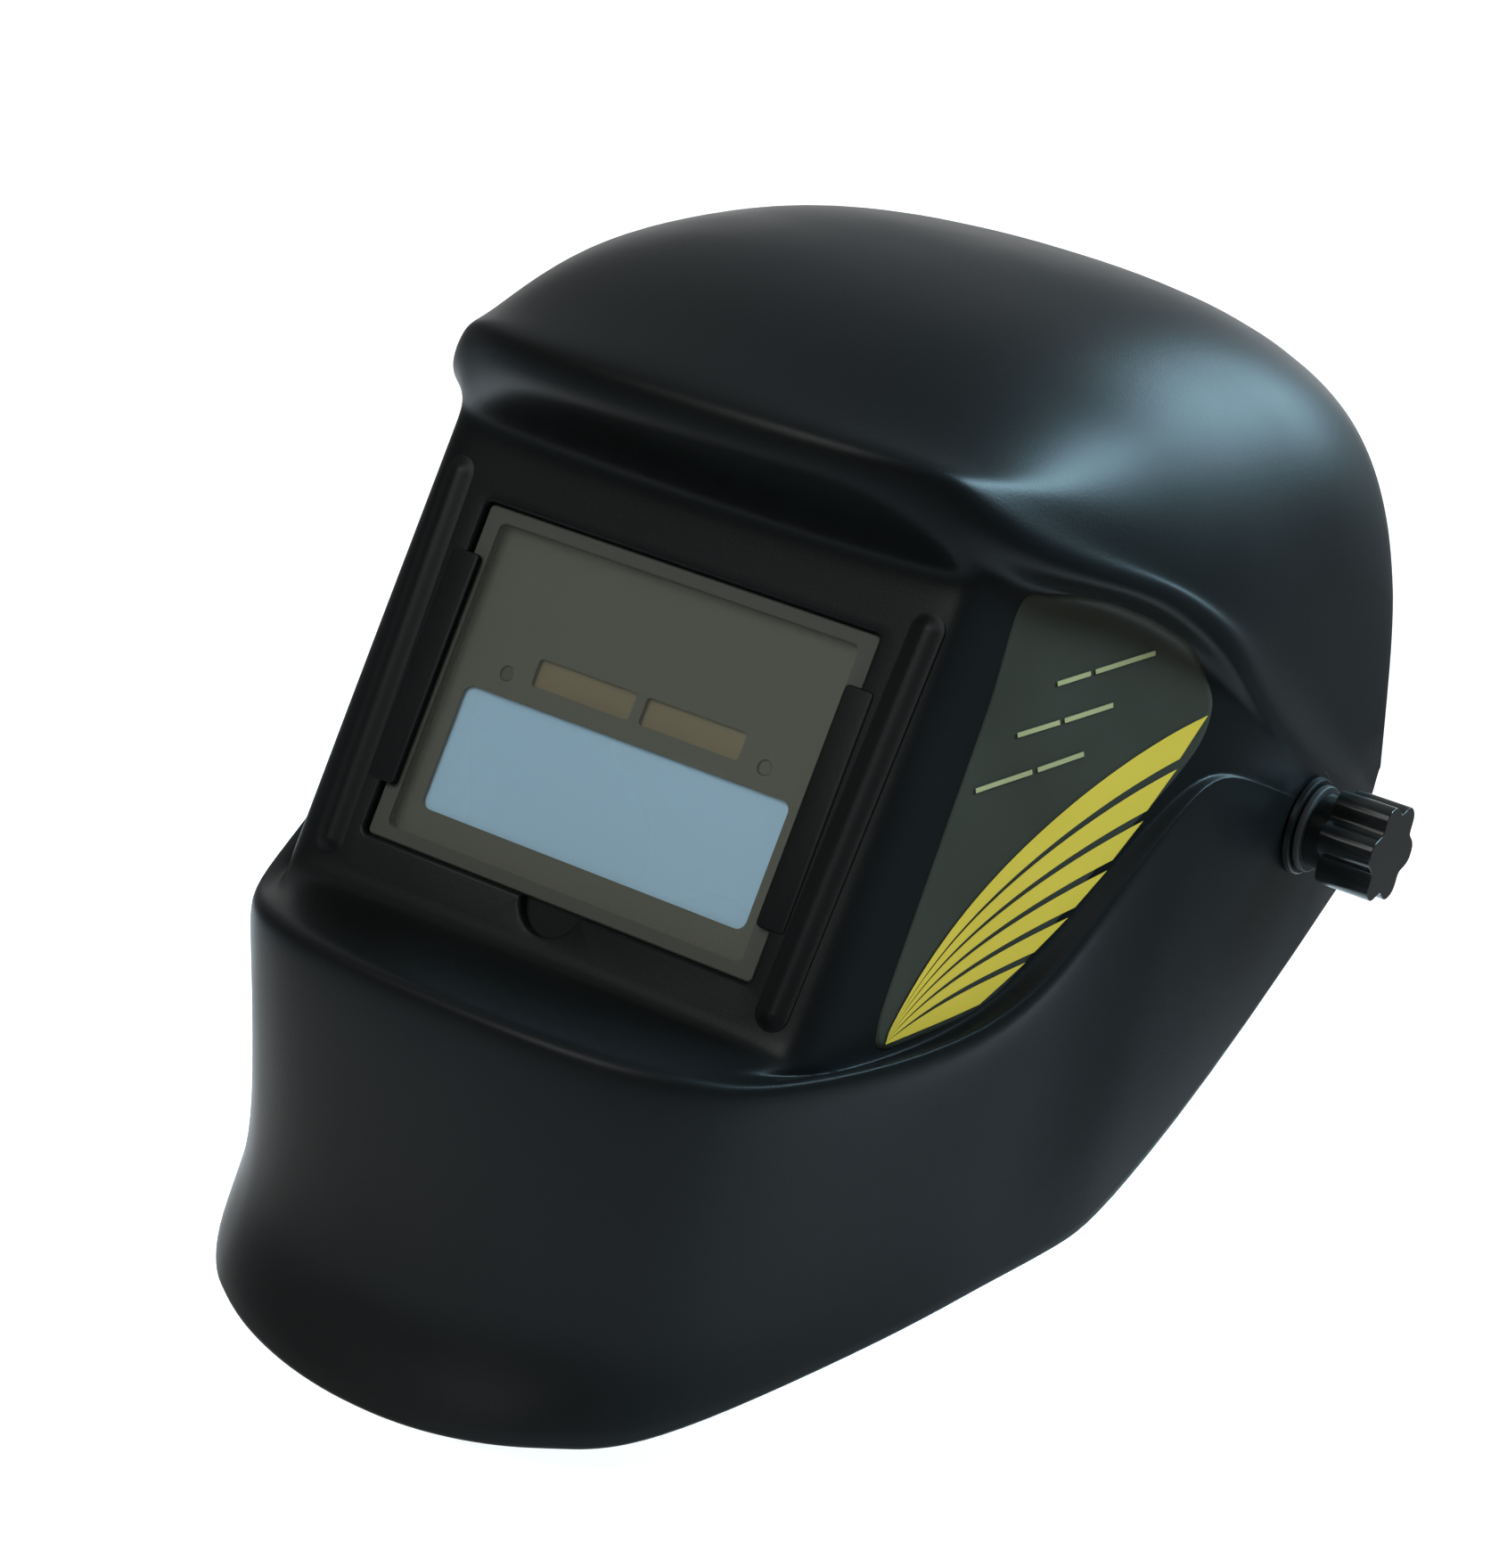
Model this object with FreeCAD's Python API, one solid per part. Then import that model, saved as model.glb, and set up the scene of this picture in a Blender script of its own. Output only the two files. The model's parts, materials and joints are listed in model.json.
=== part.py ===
"""Welding helmet with an auto-darkening filter and a ratchet headgear.

Millimetres, +Z up, the helmet looks along -Y and the wearer's left is +X.
The origin is the middle of the pivot axis that joins the shell to the headgear.
"""
import FreeCAD
import Part
import math
import os

V = FreeCAD.Vector
AXIS_X, AXIS_Y, AXIS_Z = V(1, 0, 0), V(0, 1, 0), V(0, 0, 1)

# ---- driving dimensions ----
HALF_WIDTH = 116.0          # outer wall at the pivot, from the middle plane
REAR_EDGE_Y = 45.0          # short rear edge of the shell behind the pivot
WALL = 2.5                  # moulded shell wall
LEAN = 12.0                 # front panel leans back, degrees
PANEL_Y, PANEL_Z = -152.0, -11.0    # middle of the cover lens on the panel's outer face
WALL_POWER = 1.6            # plan shape of the outer wall, lengthways
SHARED_FROM, SHARED_OVER = -88.0, 30.0      # where the rows' walls merge into one

LENS_W, LENS_H, LENS_T = 114.0, 86.0, 1.5       # clear front cover lens
CARTRIDGE_W, CARTRIDGE_H = 110.0, 90.0          # standard filter cartridge
LCD_W, LCD_H, LCD_U = 96.0, 32.0, -16.5         # viewing window and its height on the lens
CELL_W, CELL_H, CELL_U, CELL_X = 29.0, 7.0, 8.0, 16.0
SENSOR_X, SENSOR_U = 38.0, 5.2
RIB_X, RIB_SPLAY = 67.0, 1.5                    # upright ribs beside the opening, degrees

BOLT_R = 4.95               # round shank of the pivot bolt
SQUARE = 8.0                # square shank that stops the bolt turning
RUN_GAP = 0.1               # radial clearance of a turning fit
FIT_GAP = 0.3               # clearance between pieces that move past each other
FLIP_RANGE = 70.0           # degrees the shell lifts

BAND_X, BAND_Y, BAND_T = 92.0, 92.0, 2.4        # headband plan half-axes and thickness
STRAP_T = 1.8
STRAP_X, STRAP_Y = 95.4, 111.6      # side strap plan half-axes, outer face
CROWN_X, CROWN_RISE = 89.2, 96.0    # crown strap half width and rise over its riveted ends
RIVET_R = 2.0
SLOT_TRAVEL = 8.0           # fore and aft setting of the pivot bolts

RATCHET_Z = -40.0           # height of the ratchet's axis on the nape
PITCH_R = 7.0               # pinion pitch radius
PINION_TEETH = 10
RACK_Y = 109.0              # front face of the toothed strap ends
RACK_T = 2.0

# columns of the shell's control net behind the front, as depths on the side wall
SIDE_Y = (-112.0, -90.0, -65.0, -51.0, -10.0, REAR_EDGE_Y)
# angles of the dome's control net columns, from the crown down to the rear edge
DOME_ANGLES = (0, 13, 26, 37, 45, 52, 59, 65, 70.5, 73.5, 82, 90)


# ---- shell surface ----
def curve(points, x):
    """Smooth monotone curve through (x, value) stations."""
    if x <= points[0][0]:
        return points[0][1]
    if x >= points[-1][0]:
        return points[-1][1]
    gaps = [b[0] - a[0] for a, b in zip(points, points[1:])]
    slopes = [(b[1] - a[1]) / g for a, b, g in zip(points, points[1:], gaps)]
    tangents = [slopes[0]]
    for i in range(1, len(slopes)):
        if slopes[i - 1] * slopes[i] <= 0:
            tangents.append(0.0)
            continue
        w1, w2 = 2 * gaps[i] + gaps[i - 1], gaps[i] + 2 * gaps[i - 1]
        tangents.append((w1 + w2) / (w1 / slopes[i - 1] + w2 / slopes[i]))
    tangents.append(slopes[-1])
    i = max(k for k in range(len(slopes)) if points[k][0] <= x)
    t = (x - points[i][0]) / gaps[i]
    return ((1 + 2 * t) * (1 - t) ** 2 * points[i][1] + t * (1 - t) ** 2 * gaps[i] * tangents[i]
            + t * t * (3 - 2 * t) * points[i + 1][1] + t * t * (t - 1) * gaps[i] * tangents[i + 1])


def wall_x(y, front, power):
    """Half width of a superelliptic wall whose front lies at -front.

    Behind the recess every row shares one wall, so the side stays smooth to the pivot."""
    if y >= 0:
        return HALF_WIDTH - 0.0018 * y * y
    own = HALF_WIDTH * max(0.0, 1 - (-y / front) ** WALL_POWER) ** (1 / power)
    if y <= SHARED_FROM:
        return own
    common = HALF_WIDTH * (1 - (-y / 200) ** WALL_POWER) ** (1 / 3.75)
    blend = min(1.0, (y - SHARED_FROM) / SHARED_OVER)
    return own + (common - own) * blend


def wall_y(x, front, power):
    return -front * max(0.0, 1 - (x / HALF_WIDTH) ** power) ** (1 / WALL_POWER)


def wall_row(front, power, corner, side, sag=0.0):
    """Net row on the outer wall: flat front out to corner, then round to the rear edge."""
    row = []
    for share in (0.0, 0.38, 0.76, 1.0):
        y = wall_y(corner * share, front, power)
        row.append((corner * share, y, curve(side, y) - sag * (1 - share ** 2)))
    turn = row[-1][1] + 5.5
    for y in (turn, turn + 14) + SIDE_Y:
        row.append((wall_x(y, front, power), y, curve(side, y)))
    return row


def panel_row(z, brow, depth, side):
    """Net row on the sunk panel: flat front, corner ridge, then the side recess.

    brow is 0 on the wall under the recess and 1 on the narrower wall over it."""
    y0 = PANEL_Y + (z - PANEL_Z) * math.tan(math.radians(LEAN))
    row = [(x, y0, z) for x in (0.0, 26.0, 52.0, 68.0)]
    row += [(77.5, y0 + 1.0, z), (80.5, y0 + 18.0, curve(side, y0 + 18.0))]
    front, power = 200 - 28 * brow, 3.75 - 0.75 * brow
    for y, share in zip(SIDE_Y, (1.0, 0.85, 0.65, 0.0, 0.0, 0.0)):
        row.append((wall_x(y, front, power) - depth * share, y, curve(side, y)))
    return row


def dome_row(crown_y, crown_z, rear_z, power, bow, width):
    """Net row over the dome, from the crown down each side to the rear edge."""
    row = []
    end_x = wall_x(REAR_EDGE_Y, 200, 3)
    for i, angle in enumerate(DOME_ANGLES):
        s, c = math.sin(math.radians(angle)), math.cos(math.radians(angle))
        t = 1 - c ** (2 / power)
        x = width * HALF_WIDTH * s ** (2 / power)
        x += (end_x - HALF_WIDTH * width) * (i / (len(DOME_ANGLES) - 1)) ** 3
        y = crown_y + (REAR_EDGE_Y - crown_y) * t - bow * math.sin(math.pi * t)
        row.append((x, y, crown_z + (rear_z - crown_z) * t))
    return row


def lifted(side, rise):
    """The ledge line moved by rise at the front, fading out towards the pivot."""
    return [(y, z + rise * max(0.0, min(1.0, -(y + 10) / 60))) for y, z in side]


# side views of the rows that are not simple: (depth, height) stations
RIM = [(-200, -169), (-178, -167), (-165, -161), (-98, -123), (-52, -101), (-32, -84),
       (5, -46), (38, -17), (45, -14)]
LIP = [(-200, -162), (-178, -160), (-165, -155), (-98, -119), (-52, -97), (-32, -81),
       (5, -43), (38, -15), (45, -12.5)]
CHIN_LOW = [(-200, -148), (-170, -146), (-98, -108), (-52, -84), (-32, -69), (5, -36),
            (38, -12), (45, -9.5)]
CHIN_MID = [(-200, -122), (-170, -120), (-98, -82), (-69, -55), (-52, -42), (-10, -18),
            (38, -7), (45, -6)]
CHIN_TOP = [(-200, -92), (-157, -86), (-112, -62), (-90, -35), (-69, -15), (-57, -6),
            (-10, -3), (45, -3)]
LEDGE = [(-200, -72.5), (-178, -71.5), (-157, -71.5), (-136, -69), (-112, -54.5), (-90, -24),
         (-69, 3), (-57, 16), (-10, 6), (45, 0)]
FLOOR = (
    (-62, 0.1, 6, [(-200, -62), (-140, -62.5), (-112, -48.5), (-90, -18.5), (-69, 8), (-57, 18.5),
                   (-10, 7.5), (45, 1)]),
    (-22, 0.4, 7, [(-200, -22), (-140, -18), (-112, -6), (-90, 8), (-69, 20), (-57, 22.5),
                   (-10, 8.5), (45, 2)]),
    (18, 0.7, 8, [(-200, 18), (-140, 17), (-112, 21), (-90, 27), (-69, 27.5), (-57, 26.5),
                  (-10, 9.5), (45, 3)]),
    (44, 1.0, 8, [(-200, 44), (-112, 46), (-90, 44.5), (-69, 38), (-57, 31), (-10, 10.5), (45, 4)]),
    (50, 1.0, 8, [(-200, 50), (-140, 50), (-112, 51), (-90, 49.5), (-69, 42.5), (-57, 33.5),
                  (-10, 11.2), (45, 4.7)]),
)
BROW = (
    (165.5, 3.3, [(-200, 61), (-155, 61), (-146, 54.5), (-112, 53.2), (-90, 51.8), (-69, 45),
                  (-57, 35.5), (-10, 12.5), (45, 5.5)]),
    (168.5, 3.6, [(-200, 67.5), (-155, 67), (-146, 60), (-134, 56.5), (-112, 54.8), (-90, 53.4),
                  (-69, 46.7), (-57, 37), (-10, 13.2), (45, 5.7)]),
    (169, 3.7, [(-200, 72), (-155, 72), (-148, 69), (-141, 64), (-134, 60), (-112, 57),
                (-90, 55.5), (-69, 49), (-57, 39), (-10, 14.5), (45, 6.1)]),
    (166.5, 3.6, [(-200, 75.5), (-155, 75.5), (-148, 73), (-141, 69), (-134, 65.5), (-112, 61),
                  (-90, 59), (-69, 52.5), (-57, 42.5), (-10, 17), (45, 6.7)]),
)
DOME = (
    (-151, 86, 8, 3.1, 0, 0.985),
    (-122, 106, 9, 3.0, 0, 0.98),
    (-78, 118, 10, 2.9, 0, 0.975),
    (-30, 125.5, 11, 2.9, 0, 0.97),
    (15, 124.5, 12.5, 2.8, 4, 0.965),
    (42, 119, 14, 2.75, 12, 0.96),
)


def shell_net():
    """Control rows of the shell's outer face, from the bottom rim up and over to the rear rim."""
    rows = [
        wall_row(192, 2.9, 52, RIM, 7),
        wall_row(191, 2.9, 52, LIP, 7),
        wall_row(183, 3.1, 52, CHIN_LOW, 4),
        wall_row(190, 3.15, 54, CHIN_MID, 1),
        wall_row(199, 3.5, 56, CHIN_TOP),
        wall_row(202, 3.75, 58, lifted(LEDGE, -5)),
        wall_row(201, 3.75, 58, LEDGE),
        wall_row(197, 3.7, 58, lifted(LEDGE, 2)),
        panel_row(-68.0, 0.0, 6, lifted(LEDGE, 3)),
    ]
    rows += [panel_row(z, brow, depth, side) for z, brow, depth, side in FLOOR]
    rows += [wall_row(front, power, 67, side) for front, power, side in BROW]
    rows += [dome_row(*station) for station in DOME]
    return [[(-x, y, z) for x, y, z in row[:0:-1]] + row for row in rows]


def spline_surface(net):
    """Clamped uniform cubic surface on a control net."""
    def knots(count):
        inner = count - 3
        return [i / inner for i in range(inner + 1)], [4] + [1] * (inner - 1) + [4]

    u_knots, u_mults = knots(len(net))
    v_knots, v_mults = knots(len(net[0]))
    surface = Part.BSplineSurface()
    surface.buildFromPolesMultsKnots([[V(*p) for p in row] for row in net],
                                     u_mults, v_mults, u_knots, v_knots, False, False, 3, 3)
    return surface


def offset_net(net, surface, distance):
    """Net moved along the surface normal, positive outwards."""
    def middle_params(count):
        inner = count - 3
        full = [0.0] * 3 + [i / inner for i in range(inner + 1)] + [1.0] * 3
        return [sum(full[i + 1:i + 4]) / 3 for i in range(count)]

    inside = V(0, -60, -10)
    us, vs = middle_params(len(net)), middle_params(len(net[0]))
    sign = 1 if surface.normal(0.5, 0.5).dot(surface.value(0.5, 0.5) - inside) > 0 else -1
    moved = []
    for row, u in zip(net, us):
        out = []
        for point, v in zip(row, vs):
            n = surface.normal(min(max(u, 0.001), 0.999), min(max(v, 0.001), 0.999))
            out.append(tuple(V(*point) + n * (sign * distance)))
        moved.append(out)
    return moved


def skin(net, surface, low, high):
    """Closed solid between two offsets of the shell's outer face."""
    faces = [spline_surface(offset_net(net, surface, d)).toShape() for d in (low, high)]
    sides = [Part.makeRuledSurface(a, b) for a, b in zip(faces[0].Edges, faces[1].Edges)]
    shell = Part.Shell(faces + sides)
    shell.sewShape()
    solid = Part.Solid(Part.Shell(shell.Faces))
    if solid.Volume < 0:
        solid.reverse()
    return solid


# ---- small helpers ----
def box(x0, x1, y0, y1, z0, z1):
    return Part.makeBox(x1 - x0, y1 - y0, z1 - z0, V(x0, y0, z0))


def rounded_box(x0, x1, y0, y1, z0, z1, radius, axis):
    """Box with its four edges along axis (0, 1 or 2) rounded."""
    solid = box(x0, x1, y0, y1, z0, z1)
    direction = (AXIS_X, AXIS_Y, AXIS_Z)[axis]
    edges = [e for e in solid.Edges
             if abs((e.Vertexes[1].Point - e.Vertexes[0].Point).normalize().dot(direction)) > 0.9]
    return solid.makeFillet(radius, edges)


def rod_x(radius, x0, x1, y=0.0, z=0.0):
    return Part.makeCylinder(radius, x1 - x0, V(x0, y, z), AXIS_X)


def rod_y(radius, y0, y1, x=0.0, z=0.0):
    return Part.makeCylinder(radius, y1 - y0, V(x, y0, z), AXIS_Y)


def washer_x(outer, inner, x0, x1):
    return rod_x(outer, x0, x1).cut(rod_x(inner, x0 - 1, x1 + 1))


def on_front(shape):
    """Puts a shape drawn as (x, depth, up) around the lens middle onto the leaning panel."""
    placed = shape.copy()
    placed.Placement = FreeCAD.Placement(V(0, PANEL_Y, PANEL_Z),
                                         FreeCAD.Rotation(AXIS_X, -LEAN)).multiply(placed.Placement)
    return placed


def plate(width, height, d0, d1, x=0.0, u=0.0, radius=0.0):
    """Plate in panel coordinates: depth d runs into the helmet, u up the panel."""
    args = (x - width / 2, x + width / 2, d0, d1, u - height / 2, u + height / 2)
    return rounded_box(*args, radius, 1) if radius else box(*args)


def mirror(shape):
    return shape.mirror(V(0, 0, 0), AXIS_X)


def prism_x(outline, x0, x1, smooth=False):
    """Solid with a side-view outline of (y, z) points, extruded along X."""
    points = [V(x0, y, z) for y, z in outline]
    if smooth:
        spline = Part.BSplineCurve()
        spline.interpolate(points, PeriodicFlag=True)
        wire = Part.Wire(spline.toShape())
    else:
        wire = Part.makePolygon(points + points[:1])
    return Part.Face(wire).extrude(V(x1 - x0, 0, 0))


def oval_ring(half_x, half_y, thickness, z0, z1, power, steps=72):
    """Upright wall on a superelliptic plan; thickness is taken inwards."""
    def outline(a, b):
        points = []
        for i in range(steps):
            t = 2 * math.pi * i / steps
            c, s = math.cos(t), math.sin(t)
            points.append(V(math.copysign(abs(c) ** (2 / power) * a, c),
                            math.copysign(abs(s) ** (2 / power) * b, s), z0))
        spline = Part.BSplineCurve()
        spline.interpolate(points, PeriodicFlag=True)
        return Part.Face(Part.Wire(spline.toShape()))

    outer = outline(half_x, half_y).extrude(V(0, 0, z1 - z0))
    inner = outline(half_x - thickness, half_y - thickness).extrude(V(0, 0, z1 - z0))
    return outer.cut(inner)


# ---- shell, decals and lens ----
def make_shell(net, surface):
    body = skin(net, surface, -WALL, 0.0)
    body = body.fuse(on_front(plate(132, 104, 1.0, 5.5, radius=6)))
    tabs = on_front(plate(8, 60, -0.2, 1.6, x=-57.5)).fuse(on_front(plate(8, 60, -0.2, 1.6, x=57.5)))
    pocket = on_front(plate(LENS_W + 0.6, LENS_H + 0.6, -3.0, 3.5))
    body = body.cut(pocket.cut(tabs))
    body = body.cut(on_front(plate(106, 80, -3.0, 8.0, radius=3)))
    body = body.cut(on_front(rod_y(9.5, -3.0, 2.6, 0.0, -43.5)))
    for x in (-61.5, 61.5):
        for u in (-47.5, 47.5):
            body = body.cut(on_front(rod_y(1.55, 2.2, 8.0, x, u)))
    for side in (1, -1):
        rib = plate(7, 106, -1.2, 1.8, radius=3.4)
        rib.rotate(V(0, 0, 0), AXIS_Y, -side * RIB_SPLAY)
        rib.translate(V(side * RIB_X, 0, 0))
        body = body.fuse(on_front(rib))
    for side in (1, -1):
        boss = rod_x(14.0, 99.0, 116.5).fuse(rod_x(2.0, 92.9, 100.0, *stop_pin()))
        hole = rod_x(BOLT_R + RUN_GAP, 90.0, 120.0)
        if side < 0:
            boss, hole = mirror(boss), mirror(hole)
        body = body.fuse(boss).cut(hole)
    return body


def stop_pin():
    """Rest position (y, z) of the pin that runs in the stop disc's slot."""
    angle = math.radians(150)
    return 11.0 * math.cos(angle), 11.0 * math.sin(angle)


DECAL = [(-120, 46), (-100, 46), (-80, 42), (-67, 33), (-66, 22), (-74, 6), (-93, -20),
         (-112, -44), (-130, -56), (-146, -60), (-142, -40), (-133, 0)]


def make_decal(net, surface):
    film = skin(net, surface, 0.1, 0.5)
    return film.common(prism_x(DECAL, 60, 125))


def cartridge_parts():
    front = plate(CARTRIDGE_W, CARTRIDGE_H, 5.8, 12.0, radius=2)
    front = front.cut(plate(CARTRIDGE_W - 3, CARTRIDGE_H - 3, 7.0, 13.0, radius=1))
    front = front.cut(plate(LCD_W, LCD_H, 5.0, 8.0, u=LCD_U, radius=2.5))
    for side in (-1, 1):
        front = front.cut(plate(CELL_W, CELL_H, 5.0, 8.0, x=side * CELL_X, u=CELL_U, radius=1))
        front = front.cut(rod_y(2.0, 5.0, 8.0, side * SENSOR_X, SENSOR_U))
    rear = plate(CARTRIDGE_W, CARTRIDGE_H, 12.1, 14.6, radius=2)
    rear = rear.cut(plate(LCD_W, LCD_H, 11.0, 15.0, u=LCD_U, radius=2.5))
    glass = plate(102, 38, 7.2, 8.4, u=LCD_U)
    shutter = plate(102, 38, 8.6, 11.6, u=LCD_U)
    cells = [plate(CELL_W + 2, CELL_H + 1.5, 7.2, 8.0, x=s * CELL_X, u=CELL_U) for s in (-1, 1)]
    sensors = [rod_y(2.6, 7.15, 9.0, s * SENSOR_X, SENSOR_U).fuse(rod_y(1.8, 6.2, 7.2, s * SENSOR_X,
                                                                       SENSOR_U)) for s in (-1, 1)]
    board = plate(102, 38, 9.3, 10.3, u=23.5)
    coins = [rod_y(8.0, 10.4, 11.9, s * 34.0, 28.0) for s in (-1, 1)]
    return {
        "adf_front_housing": front,
        "adf_rear_housing": rear,
        "uv_ir_filter_glass": glass,
        "lcd_shutter": shutter,
        "solar_cells": Part.makeCompound(cells),
        "arc_sensors": Part.makeCompound(sensors),
        "circuit_board": board,
        "lithium_cells": Part.makeCompound(coins),
    }


def holder_parts():
    holder = plate(131, 103, 5.8, 7.8, radius=6).fuse(plate(115, 95, 5.8, 16.0, radius=3))
    holder = holder.cut(plate(CARTRIDGE_W + 0.6, CARTRIDGE_H + 0.6, 5.0, 17.0, radius=2))
    screws = []
    for x in (-61.5, 61.5):
        for u in (-47.5, 47.5):
            holder = holder.cut(rod_y(1.7, 5.0, 9.0, x, u))
            screws.append(rod_y(1.5, 2.4, 8.4, x, u).fuse(rod_y(2.8, 7.9, 10.0, x, u)))
    inner = plate(106, 86, 14.7, 15.7, radius=2)
    frame = plate(115, 95, 16.1, 18.1, radius=3).cut(plate(98, 62, 15.0, 19.0, u=-8.0, radius=4))
    parts = {
        "cartridge_holder": holder,
        "holder_screws": Part.makeCompound(screws),
        "inner_cover_lens": inner,
        "retainer_frame": frame,
    }
    for name, side in (("left", 1), ("right", -1)):
        path = [V(side * x, d, u) for x, d, u in
                ((58.6, 12, -18), (58.6, 19.2, -18), (50, 19.2, -18), (50, 19.2, 18),
                 (58.6, 19.2, 18), (58.6, 12, 18))]
        wire = Part.makePolygon(path)
        profile = Part.Wire(Part.makeCircle(0.9, path[0], AXIS_Y))
        parts["spring_clip_" + name] = wire.makePipeShell([profile], True, False, 1)
    return parts


# ---- pivots ----
def lobed_outline(x, radius, depth, lobes, steps=12):
    """Closed wavy outline in the plane at x."""
    points = []
    for i in range(lobes * steps):
        t = 2 * math.pi * i / (lobes * steps)
        r = radius - depth * 0.5 * (1 - math.cos(lobes * t)) ** 1.5 / 1.41
        points.append(V(x, r * math.cos(t), r * math.sin(t)))
    spline = Part.BSplineCurve()
    spline.interpolate(points, PeriodicFlag=True)
    return Part.Face(Part.Wire(spline.toShape()))


def pivot_parts():
    bolt = rod_x(9.0, 86.8, 89.2).fuse(box(89.0, 95.6, -SQUARE / 2, SQUARE / 2, -SQUARE / 2,
                                           SQUARE / 2)).fuse(rod_x(BOLT_R, 95.5, 134.0))
    disc = rod_x(16.0, 92.4, 95.4)
    disc = disc.cut(box(92, 96, -SQUARE / 2 - 0.1, SQUARE / 2 + 0.1, -SQUARE / 2 - 0.1,
                        SQUARE / 2 + 0.1))
    y, z = stop_pin()
    slot = washer_x(13.3, 8.7, 92, 96)
    wedge = [(0, 0)]
    for i in range(9):
        a = math.radians(154 - (FLIP_RANGE + 8) * i / 8)
        wedge.append((24 * math.cos(a), 24 * math.sin(a)))
    slot = slot.common(prism_x(wedge, 92, 96))
    end_y, end_z = (11.0 * math.cos(math.radians(150 - FLIP_RANGE)),
                    11.0 * math.sin(math.radians(150 - FLIP_RANGE)))
    slot = slot.fuse(rod_x(2.3, 92, 96, y, z)).fuse(rod_x(2.3, 92, 96, end_y, end_z))
    disc = disc.cut(slot)
    inner = washer_x(8.2, BOLT_R + RUN_GAP, 95.7, 98.7)
    outer = washer_x(11.5, BOLT_R + RUN_GAP, 116.8, 118.8)
    knob = rod_x(10.0, 119.1, 125.0).fuse(lobed_outline(124.0, 13.5, 3.0, 6).extrude(V(15.0, 0, 0)))
    knob = knob.cut(rod_x(7.0, 119.0, 135.0))
    insert = washer_x(6.95, BOLT_R + RUN_GAP / 2, 119.1, 134.5)
    return {"pivot_bolt": bolt, "stop_disc": disc, "inner_washer": inner, "outer_washer": outer,
            "tension_knob": knob, "knob_insert": insert}


# ---- headgear ----
BAND_SIDE = [(-98, 46), (-80, 45), (-50, 36), (-22, 22), (0, 21), (22, 20), (44, 8),
             (47, -4), (44, -16), (22, -20), (0, -21), (-22, -20), (-50, 2), (-80, 13), (-98, 14)]
PAD_SIDE = [(-98, 43), (-80, 42), (-52, 33), (-42, 26), (-42, 8), (-52, 5), (-80, 16), (-98, 17)]
STRAP_SIDE = [(30, 4), (60, -14), (90, -28), (116, -33), (116, -46), (90, -44), (60, -30),
              (30, -12)]
CROWN_FOOT = 4.0                    # height of the crown strap's lower ends
CROWN_RIVET, SIDE_RIVET = (30.0, 10.0), (38.0, -5.0)    # (y, z) of the rivets


def headgear_parts():
    band = oval_ring(BAND_X, BAND_Y, BAND_T, -40, 60, 2.4).common(box(-120, 120, -120, -19, -60, 60))
    for side in (-1, 1):
        x0, x1 = sorted((side * (BAND_X - BAND_T), side * BAND_X))
        band = band.fuse(box(x0, x1, -22, 50, -20, 20))
    band = band.common(prism_x(BAND_SIDE, -120, 120))
    reach = SQUARE / 2 + SLOT_TRAVEL + 0.5
    band = band.cut(box(-120, 120, -reach, reach, -SQUARE / 2 - 0.2, SQUARE / 2 + 0.2))
    pad = oval_ring(BAND_X - BAND_T - FIT_GAP, BAND_Y - BAND_T - FIT_GAP, 6.5, -40, 60, 2.4)
    pad = pad.common(prism_x(PAD_SIDE, -120, 120))
    parts = {"sweatband": pad}
    strap = oval_ring(STRAP_X, STRAP_Y, STRAP_T, -60, 20, 3.4)
    strap = strap.common(prism_x(STRAP_SIDE, 46, 100))

    # crown strap: two halves that lap on top and are pegged together
    def oval(half, rise):
        points = []
        for i in range(48):
            t = 2 * math.pi * i / 48
            points.append(V(half * math.cos(t), 38, CROWN_FOOT + rise * math.sin(t)))
        spline = Part.BSplineCurve()
        spline.interpolate(points, PeriodicFlag=True)
        return Part.Face(Part.Wire(spline.toShape())).extrude(V(0, -16, 0))

    def arch(drop, x0, x1):
        rise = CROWN_RISE - drop
        ring = oval(CROWN_X, rise).cut(oval(CROWN_X - STRAP_T, rise - STRAP_T))
        return ring.common(box(x0, x1, 20, 40, CROWN_FOOT, 120))

    left, right = arch(0.0, -22, 95), arch(STRAP_T + 0.4, -95, 22)
    for x in (-14, 0, 14):
        hole = Part.makeCylinder(2.2, 20, V(x, 30, 90), AXIS_Z)
        left, right = left.cut(hole), right.cut(hole)
    # rivets: one through each end of the crown strap, one through each side strap
    def rivets(y, z, inner_face, outer_face):
        shank = rod_x(RIVET_R, inner_face, outer_face, y, z)
        heads = rod_x(3.5, inner_face - 1.1, inner_face, y, z).fuse(
            rod_x(3.5, outer_face, outer_face + 1.1, y, z))
        return Part.makeCompound([shank.fuse(heads), mirror(shank.fuse(heads))])

    for y, z in (CROWN_RIVET, SIDE_RIVET):
        hole = rod_x(RIVET_R + 0.1, -120, 120, y, z)
        band, left, right, strap = [part.cut(hole) for part in (band, left, right, strap)]
    parts["headband"] = band
    parts["side_strap_left"] = strap
    parts["side_strap_right"] = mirror(strap)
    parts["crown_strap_left"] = left
    parts["crown_strap_right"] = right
    parts["crown_rivets"] = rivets(*CROWN_RIVET, CROWN_X - STRAP_T - 0.5, BAND_X + 0.1)
    parts["side_strap_rivets"] = rivets(*SIDE_RIVET, BAND_X - BAND_T - 0.1, STRAP_X - 0.3)
    top = CROWN_FOOT + CROWN_RISE
    peg = Part.makeCylinder(2.1, 6.0, V(0, 30, top - 5.5), AXIS_Z)
    parts["crown_peg"] = peg.fuse(Part.makeCylinder(4.0, 1.4, V(0, 30, top + 0.2), AXIS_Z))
    return parts


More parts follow.
